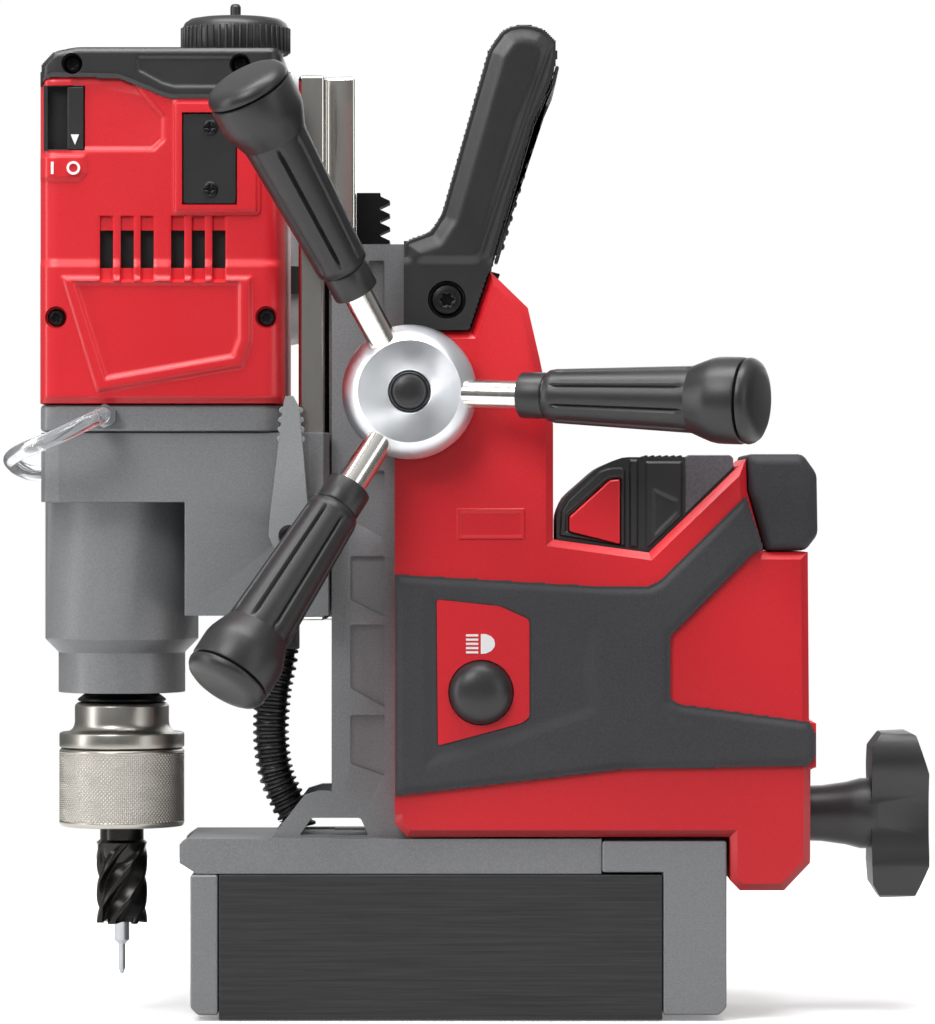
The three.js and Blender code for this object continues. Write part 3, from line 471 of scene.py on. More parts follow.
def swept_tube(points, radius_at, per_point, sides):
    """A mesh tube in mm along a smooth curve through points; also returns its ring centres in metres."""
    route = [Vector(p) for p in points]
    line = []
    for i in range(len(route) - 1):
        p0 = route[max(0, i - 1)]
        p1, p2 = route[i], route[i + 1]
        p3 = route[min(len(route) - 1, i + 2)]
        for k in range(per_point):
            t = k / per_point
            line.append(0.5 * ((2 * p1) + (p2 - p0) * t + (2 * p0 - 5 * p1 + 4 * p2 - p3) * t * t
                               + (3 * p1 - p0 - 3 * p2 + p3) * t ** 3))
    line.append(route[-1])
    length = [0.0]
    for a, b in zip(line, line[1:]):
        length.append(length[-1] + (b - a).length)
    bm = bmesh.new()
    side = Vector((0, 1, 0))
    rings = []
    for i, spot in enumerate(line):
        ahead = (line[min(i + 1, len(line) - 1)] - line[max(i - 1, 0)]).normalized()
        side = (side - ahead * side.dot(ahead)).normalized()
        other = ahead.cross(side)
        r = radius_at(length[i], length[-1])
        rings.append([bm.verts.new((spot + (side * math.cos(a) + other * math.sin(a)) * r) * MM)
                      for a in (2 * math.pi * k / sides for k in range(sides))])
    for low, high in zip(rings, rings[1:]):
        for k in range(sides):
            j = (k + 1) % sides
            bm.faces.new((low[k], low[j], high[j], high[k]))
    bm.faces.new(rings[0])
    bm.faces.new(rings[-1])
    bmesh.ops.recalc_face_normals(bm, faces=bm.faces)
    return mesh_of(bm, "tube"), [tuple(p * MM) for p in line]


# ---------------------------------------------------------------- coolant hose
HOSE_ROUTE = [(-136, -58, 246), (-137, -63, 245.6), (-144, -68, 242), (-157, -67, 236), (-168, -58, 232),
              (-174.6, -40, 229), (-176, -18, 227), (-175.4, 8, 225), (-172, 32, 223.4), (-162, 52, 223),
              (-146, 64, 227), (-128, 72, 236), (-110, 78, 245), (-97, 80.6, 253), (-90.4, 81, 262),
              (-89, 81, 273.6)]
HOSE_RADIUS = 3.2
hose_mesh, hose_line = swept_tube(HOSE_ROUTE, lambda d, whole: HOSE_RADIUS, 8, 20)
hose = stand_in("coolant_hose_clear", hose_mesh, "coolant_hose")


# ---------------------------------------------------------------- geometry node trees
def repeat_tree(name, in_circle):
    """Copies of one shape along a line or round a circle, joined into a plain mesh."""
    tree = bpy.data.node_groups.new(name, "GeometryNodeTree")
    for label, kind in (("Shape", "NodeSocketObject"), ("Count", "NodeSocketInt"),
                        ("Radius", "NodeSocketFloat"), ("Step", "NodeSocketVector"),
                        ("Finish", "NodeSocketMaterial")):
        tree.interface.new_socket(label, in_out="INPUT", socket_type=kind)
    tree.interface.new_socket("Geometry", in_out="OUTPUT", socket_type="NodeSocketGeometry")
    sizes = add_node(tree, "NodeGroupInput").outputs
    shape = add_node(tree, "GeometryNodeObjectInfo", {"Object": sizes["Shape"]})
    copies = add_node(tree, "GeometryNodeInstanceOnPoints", {"Instance": shape.outputs["Geometry"]})
    if in_circle:
        add_node(tree, "GeometryNodeMeshCircle", {"Vertices": sizes["Count"], "Radius": sizes["Radius"]},
                 copies.inputs["Points"])
        index = add_node(tree, "GeometryNodeInputIndex")
        part = add_node(tree, "ShaderNodeMath", {0: index.outputs[0], 1: sizes["Count"]}, operation="DIVIDE")
        angle = add_node(tree, "ShaderNodeMath", {0: part.outputs[0], 1: 2 * math.pi}, operation="MULTIPLY")
        turn = add_node(tree, "ShaderNodeCombineXYZ", {"Z": angle.outputs[0]})
        add_node(tree, "FunctionNodeEulerToRotation", {0: turn.outputs[0]}, copies.inputs["Rotation"])
    else:
        add_node(tree, "GeometryNodeMeshLine", {"Count": sizes["Count"], "Offset": sizes["Step"]},
                 copies.inputs["Points"])
    plain = add_node(tree, "GeometryNodeRealizeInstances", {"Geometry": copies.outputs["Instances"]})
    finished = add_node(tree, "GeometryNodeSetMaterial", {"Geometry": plain.outputs["Geometry"],
                                                          "Material": sizes["Finish"]})
    add_node(tree, "NodeGroupOutput", {"Geometry": finished.outputs["Geometry"]})
    return tree


ROW = repeat_tree("row_of_copies", False)
CIRCLE = repeat_tree("circle_of_copies", True)


def repeated(tree, shape_mesh, count, material, step=(0, 0, 0), radius=0.0):
    """The plain mesh that a repeat tree makes from one shape; step and radius are in mm."""
    shape = bpy.data.objects.new("shape", shape_mesh)
    bpy.context.scene.collection.objects.link(shape)
    holder = bpy.data.objects.new("holder", bpy.data.meshes.new("holder"))
    bpy.context.scene.collection.objects.link(holder)
    made = holder.modifiers.new("copies", "NODES")
    values = {"Shape": shape, "Count": count, "Radius": radius * MM, "Step": [v * MM for v in step],
              "Finish": material}
    made.node_group = tree
    for item in tree.interface.items_tree:
        if item.in_out == "INPUT" and item.name in values:
            made[item.identifier] = values[item.name]
    mesh = bpy.data.meshes.new_from_object(holder.evaluated_get(bpy.context.evaluated_depsgraph_get()))
    holder.modifiers.clear()
    bpy.data.objects.remove(holder)
    bpy.data.objects.remove(shape)
    return mesh


def shifted(mesh, x=0.0, y=0.0, z=0.0, lean=0.0):
    """The mesh turned about the Y axis by an angle in degrees, then moved by a distance in mm."""
    mesh.transform(Matrix.Translation(Vector((x, y, z)) * MM) @ Matrix.Rotation(math.radians(lean), 4, "Y"))
    return mesh


# ---------------------------------------------------------------- screws
def screw_mesh(head_radius, head_height, drive, drive_radius):
    """A screw head facing -Y with its seat at the origin; drive is the number of lobes of its socket."""
    shape = [(0, 0), (1, 0), (1, 0.45), (0.86, 0.85), (0.6, 1), (0, 1)]
    profile = [(head_radius * across, head_height * along) for across, along in shape]
    head = round_surface(profile, (0, 0, 0), TO_NEAR, 32)
    socket = []
    for turn in np.linspace(0, 2 * math.pi, 8 * drive, False):
        if drive == 4:
            r = drive_radius * (1.0 if abs(math.sin(2 * turn)) < 0.5 else 0.42)
        else:
            r = drive_radius * (0.86 + 0.14 * math.cos(drive * turn))
        socket.append((r * math.cos(turn), r * math.sin(turn)))
    return carved(head, prism(socket, -head_height - 1, -0.3 * head_height))


def add_screw(name, at, body, radius, height, drive, drive_radius):
    """A blackened screw with its seat at a point in mm, facing away from the machine's middle plane."""
    mesh = screw_mesh(radius, height, drive, drive_radius)
    if at[1] > 0:
        mesh.transform(Matrix.Rotation(math.pi, 4, "Z"))
    place_piece(name, shifted(mesh, *at), body, "steel", BLACK_STEEL)


# ---------------------------------------------------------------- feed hub and handles
SPOKE_ROOT = Vector((HUB_X, -47.1, HUB_Z))
SPOKE_TILT = math.radians(22)
SPOKE_ANGLES = (-2, 118, 238)


def spoke_axis(angle):
    """The direction of a spoke, turned by an angle in degrees and tilted towards the near side."""
    turn = math.radians(angle)
    return Vector((math.cos(SPOKE_TILT) * math.cos(turn), -math.sin(SPOKE_TILT),
                   math.cos(SPOKE_TILT) * math.sin(turn)))


def feed_hub():
    """The turned hub with its moulded centre cap."""
    profile = [(0, 8), (6.3, 8), (6.3, 0), (14, 0), (14, 2.4), (26.6, 4.2), (27.2, 4.7), (27.3, 5.2),
               (27.3, 10.2), (27.0, 10.9), (21.2, 17.2), (20.6, 17.5), (9.4, 17.5), (8.6, 17.2), (8.2, 16.6),
               (8.2, 12), (0, 12)]
    body = round_surface(profile, (HUB_X, -44.5, HUB_Z), TO_NEAR, 128, smooth_angle=25)
    stand_in("feed_hub_turned", body, "feed_hub")
    cap = [(0, 0), (7.9, 0), (7.9, 5.8), (7.5, 6.3), (7.0, 6.0), (6.7, 6.2), (6.6, 8.0), (5.9, 9.1),
           (4.2, 9.8), (2.2, 10), (0, 10)]
    stand_in("hub_cap_moulded", round_surface(cap, (HUB_X, -56.8, HUB_Z), TO_NEAR, 64), "hub_cap")


GRIP_PROFILE = [(6.2, 90), (6.2, 49.2), (8.7, 49), (9.2, 49.3), (9.35, 50), (9.35, 59.2), (9.1, 59.8),
                (8.8, 60), (8.8, 60.8), (10.1, 61), (10.5, 61.6), (10.7, 63)]
FLUTE_COUNT = 8
FLUTE_START, FLUTE_END = 64, 122
BULGE = [(13.6, 122.5), (14.2, 124), (15.6, 127.5), (16.7, 130.5), (17.2, 133), (17.3, 136), (17.3, 142.6),
         (17.0, 143.6), (16.2, 144.1), (0, 144.1)]
GRIP_END = [(0, 144.5), (16.3, 144.5), (17.1, 145.0), (17.2, 145.8), (16.8, 147.2), (15.6, 148.9),
            (13.6, 150), (10, 150.6), (0, 150.8)]


def flute(turn, radius, along):
    """Narrow grooves between broad flats, fading out at both ends of the fluted length."""
    if not FLUTE_START - 2 < along < FLUTE_END + 2:
        return radius
    across = abs((turn * FLUTE_COUNT / (2 * math.pi)) % 1 - 0.5) * 2
    groove = max(0.0, 1 - (1 - across) / 0.17)
    crown = 0.35 * math.cos(across * math.pi / 2) - 0.35
    ends = min(1.0, max(0.0, (along - FLUTE_START) / 1.5), max(0.0, (FLUTE_END - along) / 1.5))
    return radius + (crown - 1.1 * min(1, groove * 1.4)) * ends


def feed_handle(number, angle):
    """A plated rod, its fluted grip and the grip's end cap."""
    axis = spoke_axis(angle)
    rod = [(0, 19), (6, 19), (6, 89.6), (5.6, 90), (0, 90)]
    stand_in(f"spoke_rod_{number}", round_surface(rod, SPOKE_ROOT, axis, 48), f"feed_spoke_{number}")
    steps = 24
    flutes = [(10.9 + 2.5 * k / steps, FLUTE_START + (FLUTE_END - FLUTE_START) * k / steps)
              for k in range(steps + 1)]
    flutes = [(10.9, FLUTE_START - 0.1)] + flutes + [(13.4, FLUTE_END + 0.1)]
    profile = [(0, 90)] + GRIP_PROFILE + flutes + BULGE
    stand_in(f"grip_sleeve_{number}", round_surface(profile, SPOKE_ROOT, axis, 144, flute, 40),
             f"feed_grip_{number}")
    place_piece(f"grip_end_{number}", round_surface(GRIP_END, SPOKE_ROOT, axis, 96), "feed_hub",
                "black_rubber")


feed_hub()
for number, angle in enumerate(SPOKE_ANGLES, start=1):
    feed_handle(number, angle)


# ---------------------------------------------------------------- spindle, chuck and cutter


KNURL_COUNT = 96
KNURL_RISE = 1.75       # mm along the axis from one groove to the next


def knurl(turn, radius, along):
    """Diamond knurl: two sets of crossing helical grooves, about 1.2 mm apart."""
    if radius < 25.85 or not 79 < along < 107.4:
        return radius
    around = turn * KNURL_COUNT / (2 * math.pi)
    a = abs((around + along / KNURL_RISE) % 1 - 0.5) * 2
    b = abs((around - along / KNURL_RISE) % 1 - 0.5) * 2
    return radius - 0.5 * max(0.0, 1 - min(a, b) * 1.7)


def knurled_sleeve():
    """The sleeve that is raised to let the cutter go."""
    rows = 104
    wall = [(25.9, 78.4 + (107.9 - 78.4) * k / rows) for k in range(rows + 1)]
    profile = [(13.3, 76.8), (24.6, 76.8), (25.2, 77.0), (25.6, 77.5)] + wall
    profile += [(25.6, 108.6), (25.0, 109.1), (13.3, 109.1)]
    stand_in("release_sleeve_knurled", round_surface(profile, SPINDLE, UP, 576, knurl, 60), "chuck_sleeve")


def arbor_body():
    """The arbor that the sleeve slides on, and the spindle's nose above it."""
    profile = [(9.3, 77.8), (9.7, 77.4), (12.6, 77.4), (13, 77.8), (13, 109.4), (25.2, 109.4), (25.8, 109.8),
               (25.9, 110.4), (25.9, 114.8), (25.6, 115.5), (24.9, 115.8), (22.0, 116.1), (20.6, 117.0),
               (19.8, 118.4), (19.5, 120), (19.5, 126.4), (19.2, 127.2), (18.4, 127.9), (17.6, 128.2),
               (0, 128.3), (0, 124.4), (9.3, 124.4)]
    mesh = round_surface(profile, SPINDLE, UP, 96, smooth_angle=30)
    stand_in("arbor_plated", mesh, "arbor", TURNED_NICKEL)
    nose = [(0, 128.6), (17.8, 128.6), (18.3, 129), (18.2, 129.6), (15.2, 131.9), (9, 134.4), (9, 237),
            (0, 237)]
    stand_in("spindle_nose", round_surface(nose, SPINDLE, UP, 64), "spindle")


CUTTER_BOTTOM, CUTTER_TOP = 36.6, 70
CUTTER_TEETH = 6
CUTTER_TWIST = 0.081        # radians for each mm of height
GULLET_DEPTH = 2.9


def cutter_radius(turn, radius, along):
    """Six helical lands with a gullet before each; the end is stepped into teeth."""
    if radius < 9.6 or along > CUTTER_TOP - 0.2:
        return radius
    part = ((turn - (along - CUTTER_BOTTOM) * CUTTER_TWIST) * CUTTER_TEETH / (2 * math.pi)) % 1
    depth = GULLET_DEPTH * min(1.0, (CUTTER_TOP - along) / 8)
    if part < 0.2:
        return radius
    if part < 0.26:
        return radius - depth * (part - 0.2) / 0.06
    return radius - depth * math.cos((part - 0.26) / 0.74 * math.pi / 2) ** 0.8


def annular_cutter():
    """The hollow cutter and the pilot pin inside it."""
    bottom, top = CUTTER_BOTTOM, CUTTER_TOP
    rows = 84
    wall = [(10.5, bottom + (top - bottom) * k / rows) for k in range(rows + 1)]
    profile = [(7.4, bottom + 0.9), (8.6, bottom)] + wall
    profile += [(10.1, top + 0.3), (9, top + 1.2), (9, 90), (3.6, 90), (3.6, 60), (7.2, 60)]
    mesh = round_surface(profile, SPINDLE, UP, 288, cutter_radius, 28)
    for vertex in mesh.vertices:
        x, y, z = (vertex.co - Vector(SPINDLE) * MM) / MM
        if z < bottom + 0.6 and math.hypot(x, y) > 7:
            part = (math.atan2(y, x) * CUTTER_TEETH / (2 * math.pi)) % 1
            vertex.co.z += (3.2 * max(0.0, part - 0.3)) * MM
    stand_in("cutter_fluted", mesh, "annular_cutter")
    pilot = [(0, 15.4), (0.5, 15.5), (1.35, 17.6), (1.4, 18), (1.4, 27.6), (1.7, 28.3), (2.9, 29.2),
             (3.17, 29.8), (3.17, 101), (0, 101)]
    stand_in("pilot_ground", round_surface(pilot, SPINDLE, UP, 32), "pilot_pin")


knurled_sleeve()
arbor_body()
annular_cutter()


# ---------------------------------------------------------------- wiring conduit
CONDUIT_ROUTE = [(-66.6, 0, 155.6), (-67, 0, 146), (-69.6, 0, 132), (-70.6, 0, 115), (-68.6, 0, 99),
                 (-63.6, 0, 87), (-60.2, 0, 81), (-59.4, 0, 76.2)]
RIB_PITCH = 3.1


def wiring_conduit():
    """The ribbed conduit in one fixed shape; the real one bends as the carriage slides on the base."""
    def ribbed(along, whole):
        wave = math.cos(2 * math.pi * along / RIB_PITCH)
        return 6.75 + 0.75 * max(-1.0, min(1.0, wave * 1.8))
    mesh, line = swept_tube(CONDUIT_ROUTE, ribbed, 40, 32)
    piece = place_piece("conduit_corrugated", mesh, None, "conduit_black", stands_for=("wiring_conduit",))
    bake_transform(piece)


wiring_conduit()


# ---------------------------------------------------------------- coolant bottle and cap
BOTTLE_AT = (-89, 81, 0)


def bottle_and_cap():
    """The blown bottle, hollow, and its ribbed screw cap with a vent pin."""
    outer = [(0, 274), (4.6, 274), (5, 274.4), (5, 278), (22, 278.6), (27, 279.6), (30, 282), (31, 285.4),
             (31, 296), (30.6, 297), (30.6, 316), (31, 317), (31, 386), (30.4, 390), (28.6, 393.6), (25, 397),
             (20.5, 399.6), (17.6, 401), (17, 402), (17, 410)]
    inner = [(14.6, 410), (14.6, 399.6), (25, 395), (29, 387), (29, 284), (23, 281), (0, 280.6)]
    stand_in("bottle_blown", round_surface(outer + inner, BOTTLE_AT, UP, 72), "coolant_bottle")
    cap = [(0, 419.8), (16, 419.8), (19.5, 419.2), (21.8, 417.6), (22.9, 415.4), (23, 413), (23, 404.6),
           (22.4, 404), (17.4, 404), (17.4, 412), (0, 412)]
    body = round_surface(cap, BOTTLE_AT, UP, 96)
    tip = [(0, 418), (2.3, 418), (2.3, 424.6), (1.9, 425.6), (1.1, 426), (0, 426)]
    pin = round_surface(tip, BOTTLE_AT, UP, 32)
    rib = prism([(22.6, -0.75), (23.7, -0.45), (23.7, 0.45), (22.6, 0.75)], 404.8, 415.4, axis="Z")
    ribs = repeated(CIRCLE, rounded_edges(shifted(rib, -23), 0.3), 48, BLACK, radius=23)
    stand_in("bottle_cap_ribbed", joined(body, pin, shifted(ribs, *BOTTLE_AT)), "bottle_cap")


bottle_and_cap()


# ---------------------------------------------------------------- moulded facings
def depth_inside(points, x, z):
    """Distance in mm from an outline's edge, positive inside it."""
    corners = np.array(points, float)
    nearest = np.full(x.shape, 1e9)
    inside = np.zeros(x.shape, bool)
    for (ax, az), (bx, bz) in zip(corners, np.roll(corners, -1, 0)):
        dx, dz = bx - ax, bz - az
        t = np.clip(((x - ax) * dx + (z - az) * dz) / (dx * dx + dz * dz), 0, 1)
        nearest = np.minimum(nearest, np.hypot(x - ax - t * dx, z - az - t * dz))
        if dz:
            inside ^= ((az > z) != (bz > z)) & (x < dx * (z - az) / dz + ax)
    return np.where(inside, nearest, -nearest)


RIM_SINK = 0.3          # how far a facing's rim starts below the side that it lies on
FACING_DEPTH = 1.6      # how far its back lies inside


def facing(outline, face, layers, way=-1, pitch=0.7, windows=(), bores=(), bend=None, holes=()):
    """A moulded facing on a flat side: a closed plate whose height follows layered outlines in X and Z.
    A layer is (outline, height, slope width, "add" or "to")."""
    low, high = np.min(outline, 0), np.max(outline, 0)

    def lines(start, stop, marks):
        regular = np.linspace(start, stop, math.ceil((stop - start) / pitch) + 1)
        kept = [v for v in regular if all(abs(v - m) > 0.4 * pitch for m in marks)]
        return np.array(sorted(kept + list(marks)))
    x, z = np.meshgrid(lines(low[0], high[0], {v for w in windows for v in w[:2]}),
                       lines(low[1], high[1], {v for w in windows for v in w[2:]}))
    mid_x, mid_z = (x[1:, 1:] + x[:-1, :-1]) / 2, (z[1:, 1:] + z[:-1, :-1]) / 2
    kept = depth_inside(outline, mid_x, mid_z) > 0
    for x0, x1, z0, z1 in windows:
        kept &= ~((mid_x > x0) & (mid_x < x1) & (mid_z > z0) & (mid_z < z1))
    for bx, bz, r in bores:
        kept &= np.hypot(mid_x - bx, mid_z - bz) > r
    for hole in holes:
        kept &= depth_inside(hole, mid_x, mid_z) < 0
    around = np.pad(kept, 1).astype(int)
    users = around[:-1, :-1] + around[1:, :-1] + around[:-1, 1:] + around[1:, 1:]
    for bx, bz, r in bores:
        away = np.hypot(x - bx, z - bz)
        rim = (users > 0) & (users < 4) & (abs(away - r) < 1.2 * pitch)
        x[rim] = bx + (x[rim] - bx) * r / away[rim]
        z[rim] = bz + (z[rim] - bz) * r / away[rim]
    level = np.full(x.shape, -RIM_SINK)
    for shape, height, width, kind in layers:
        t = np.clip(depth_inside(shape, x, z) / width, 0, 1)
        t = t * t * (3 - 2 * t)
        level = level + height * t if kind == "add" else level * (1 - t) + height * t
    under = face - (bend(x, z) if bend else 0 * x)
    bm = bmesh.new()
    front, back = {}, {}
    for j, i in np.argwhere(users > 0):
        front[j, i] = bm.verts.new((x[j, i] * MM, way * (under[j, i] + level[j, i]) * MM, z[j, i] * MM))
        back[j, i] = bm.verts.new((x[j, i] * MM, way * (under[j, i] - FACING_DEPTH) * MM, z[j, i] * MM))
    rows, columns = kept.shape
    for j, i in np.argwhere(kept):
        loop = [(j, i), (j, i + 1), (j + 1, i + 1), (j + 1, i)]
        if way > 0:
            loop.reverse()
        bm.faces.new([front[k] for k in loop])
        bm.faces.new([back[k] for k in reversed(loop)])
        for a, b in zip(loop, loop[1:] + loop[:1]):
            nj = j + (-1 if a[0] == b[0] == j else 1 if a[0] == b[0] else 0)
            ni = i + (-1 if a[1] == b[1] == i else 1 if a[1] == b[1] else 0)
            if not (0 <= nj < rows and 0 <= ni < columns and kept[nj, ni]):
                bm.faces.new((front[b], front[a], back[a], back[b]))
    return mesh_of(bm, "facing", 40)


MOTOR_FRONT, MOTOR_REAR, MOTOR_SIDE = -163, -63.7, 47
VENT_X = (-135.5, -127.1, -119, -106.6, -98.2, -89.9)
VENT_HALF = 2.7
SWITCH_WINDOW = (-161, -144.3, 353.7, 380.1)
MOTOR_SCREWS = [(-155.9, 285.9), (-70.6, 286)]
TOP_SCREWS = [(-149.4, 388.9), (-81.2, 388.6)]


def motor_bend(x, z):
    """How far the motor's rounded corners fall back from its flat side."""
    corner = 8.0
    inward = np.minimum(x - MOTOR_FRONT, MOTOR_REAR - x)
    return corner * (1 - np.sqrt(np.clip(inward / corner, 0, 1))) ** 2


def box_outline(x0, x1, z0, z1):
    return [(x0, z0), (x1, z0), (x1, z1), (x0, z1)]


def motor_facing(side, way):
    """The motor shell's side: vents and a raised field, and round the switches on the near side."""
    edge = box_outline(MOTOR_FRONT + 0.1, MOTOR_REAR - 0.1, 251.3, 384.4)
    shoulder = box_outline(-175, -50, 240, 310)
    rim = [(-154.4, 303), (-139.8, 254.6), (-79.6, 265), (-75.8, 276), (-75.8, 303)]
    field = [(-149.4, 301), (-136.4, 260.2), (-83.4, 269.4), (-80.4, 277.4), (-80.4, 301)]
    layers = [(edge, 1.6, 2.6, "add"), (shoulder, 1.3, 4.0, "add"), (rim, 1.3, 2.2, "add"),
              (field, -1.5, 2.0, "add")]
    windows = [(x - VENT_HALF, x + VENT_HALF, 306, 321.3) for x in VENT_X]
    layers += [(box_outline(x0 - 0.1, x1 + 0.1, 300.5, 327), -0.2, 0.5, "to") for x0, x1, *_ in windows]
    if way < 0:
        frame_edge = box_outline(-108.4, -73.4, 327.6, 374)
        scoop = [(-150, 353), (-116, 353), (-111.2, 357.5), (-111.2, 368), (-119, 377), (-124, 384),
                 (-150, 390)]
        lip = [(-175, 341), (-146.5, 341), (-143.4, 344), (-143.4, 352.4), (-175, 352.4)]
        layers += [(frame_edge, 1.4, 1.6, "add"), (scoop, -0.1, 3.0, "to"), (lip, 0.9, 1.6, "add")]
        windows += [SWITCH_WINDOW, (-104.8, -82.4, 331.6, 369.1)]
    bores = [(x, z, 4.5) for x, z in MOTOR_SCREWS]
    mesh = facing(edge, MOTOR_SIDE, layers, way, 0.7 if way < 0 else 1.0, windows, bores, motor_bend)
    place_piece(f"motor_facing_{side}", mesh, "carriage", "red_nylon")


def cap_facing(side, way):
    """The black top cap's wavy lower edge and its sunk panel."""
    edge = [(-162.7, 379.5), (-160.4, 382.6), (-157, 383.6), (-131, 383), (-127, 381.6), (-112.5, 375.6),
            (-109, 374.7), (-84.7, 374.7), (-79.6, 378.6), (-64, 379), (-64, 393), (-67, 395.2),
            (-148, 395.2), (-157, 393.4), (-162.3, 388)]
    panel = [(-123.4, 392), (-83, 392), (-80, 388), (-80, 382), (-86, 379), (-108, 379), (-113, 380.4),
             (-123, 385.8)]
    layers = [(edge, 1.2, 1.8, "add"), (panel, -0.8, 1.2, "add")]
    bores = [(x, z, 4.3) for x, z in TOP_SCREWS]
    mesh = facing(edge, MOTOR_SIDE + 2, layers, way, 0.6, (), bores, motor_bend)
    place_piece(f"top_cap_facing_{side}", mesh, "carriage", "black_nylon")


BAND_EDGE = [(-18.4, 181.5), (66, 176.6), (84.5, 176.6), (89.3, 179), (124.2, 213.4), (131.4, 191.8),
             (126.6, 189.8), (93.4, 156.7), (93.4, 130.6), (97.8, 128.6), (149.8, 121.6), (152.6, 116.4),
             (152.6, 107.8), (149.6, 103.8), (74.6, 102.5), (-18.4, 91.6)]
LIGHT_PANEL_EDGE = [(-1.5, 171.4), (24.2, 168.7), (35.4, 163.6), (36.2, 162), (36.2, 123.7), (33.2, 121.2),
                    (-1, 112)]


def band_facing(side, way):
    """The rubber band across the base housing, sunk round the light panel on the near side."""
    layers = [(BAND_EDGE, 1.5, 3.4, "add")]
    if way < 0:
        basin = [(-8, 176), (30, 171.5), (66, 162.4), (63, 143), (66, 124.6), (30, 112), (-8, 101)]
        layers += [(basin, 0.1, 6.0, "to"), (LIGHT_PANEL_EDGE, -0.5, 0.5, "to")]
    mesh = facing(BAND_EDGE, 43.7, layers, way, 0.8)
    place_piece(f"band_facing_{side}", mesh, "base", "rubber_grip")


HANDLE_EDGE = [(-14.9, 281), (11.5, 281), (20.2, 306.5), (29.6, 338.9), (37.2, 364.5), (44.8, 381.8),
               (47.6, 393), (46.5, 399), (42, 403.4), (37, 405), (33, 405.3), (28.5, 404.6), (25, 402.6),
               (19.6, 395), (0.5, 328), (-4, 321), (-14.9, 317)]
HANDLE_SCREW = (2.6, 293.4)


def handle_facing(side, way):
    """The carry handle's cheek: a rounded arm with a spine on a flat foot."""
    foot = box_outline(-40, 60, 270, 312)
    spine = [(14.8, 312), (17.4, 312), (38, 374), (46, 397), (44.4, 398), (35.8, 374)]
    layers = [(HANDLE_EDGE, 2.6, 8.0, "add"), (foot, 0.9, 5.0, "to"), (spine, 0.35, 0.8, "add")]
    mesh = facing(HANDLE_EDGE, 42, layers, way, 0.7, (), [(*HANDLE_SCREW, 7.7)])
    place_piece(f"handle_facing_{side}", mesh, "base", "black_nylon")


PACK_SIDE = 37.5        # half of the battery's width


def battery_facing(side, way):
    """The raised rim round the latch, the pack's ribs and the dark window behind them."""
    rim = [(48, 196.9), (48.6, 207.5), (51.2, 212), (64.4, 224), (68, 225.4), (74.4, 225.6), (75.8, 224),
           (75.8, 192.4), (72, 192.9)]
    inner = [(50.4, 198.6), (73.8, 193.2), (74.2, 221.6), (68.4, 221.4), (50.6, 206)]
    hole = [(51.9, 198.8), (73.7, 193.2), (73.7, 220.9), (68.8, 220.5), (51.9, 205.3)]
    latch_rim = facing(rim, PACK_SIDE, [(rim, 1.6, 1.3, "add"), (inner, -0.8, 0.8, "add")], way, 0.4,
                       holes=[hole])
    rib = box_outline(76.6, 81, 192.2, 228.8)
    block = [(83.2, 192.4), (85.4, 192.4), (99, 205.4), (99, 228), (83.2, 228)]
    dip = [(86.4, 196), (97, 206.6), (97, 212), (86.4, 217)]
    band = facing(rib, PACK_SIDE, [(rib, 1.2, 1.1, "add")], way, 0.6)
    body = facing(block, PACK_SIDE, [(block, 1.2, 1.1, "add"), (dip, -0.8, 1.2, "add")], way, 0.6)
    place_piece(f"battery_facing_{side}", joined(latch_rim, band, body), "battery", "battery_plastic")
    smoky = prism([(99.8, 206.2), (119.4, 225.2), (119.4, 229), (118, 230.3), (101, 230.3), (99.8, 229.4)],
                  way * 30, way * 37.9)
    place_piece(f"battery_cover_{side}", rounded_edges(smoky, 0.5), "battery", "battery_plastic", SMOKE)
    if way < 0:
        ridge = rounded_edges(prism(box_outline(83.4, 84.6, 229, 230.2), -35, 35), 0.3)
        ridges = repeated(ROW, ridge, 6, PACK, step=(2.8, 0, 0))
        place_piece("battery_top_ridges", ridges, "battery", "battery_plastic")


for side, way in (("near", -1), ("far", 1)):
    for dress in (battery_facing, motor_facing, cap_facing, band_facing, handle_facing):
        dress(side, way)


# ---------------------------------------------------------------- painted shade behind openings
def shade_plate(name, opening, y):
    """A thin black plate of painted shade behind an opening, where no light reaches."""
    mesh = prism(box_outline(*opening), y, y + 1.2)
    place_piece(name, rounded_edges(mesh, 0.3, 1), "carriage", "black_nylon", PAINTED_SHADE)


# painted shade: a black plate behind the switch window
shade_plate("switch_back", SWITCH_WINDOW, -43.4)
insert = joined(prism(box_outline(-161, -159.3, 353.7, 380.1), -48.4, -43.4),
                prism(box_outline(-161, -144.3, 379.7, 380.1), -47.6, -43.4),
                prism(box_outline(-161, -144.3, 353.7, 354.1), -47.6, -43.4))
place_piece("switch_insert", rounded_edges(insert, 0.15), "carriage", "black_nylon")
plate = box_outline(6.3, 34.8, 195.4, 208.8)
plate_field = box_outline(7.6, 33.5, 196.7, 207.5)
place_piece("embossed_plate", facing(plate, 42, [(plate, 0.8, 0.8, "add"), (plate_field, -0.4, 0.7, "add")]),
            "base", "red_nylon")
# painted shade: black plates behind the motor's vents on both sides
shade_plate("vent_screen_near", (-141, -84, 302, 325), -43.6)
shade_plate("vent_screen_far", (-141, -84, 302, 325), 42.4)


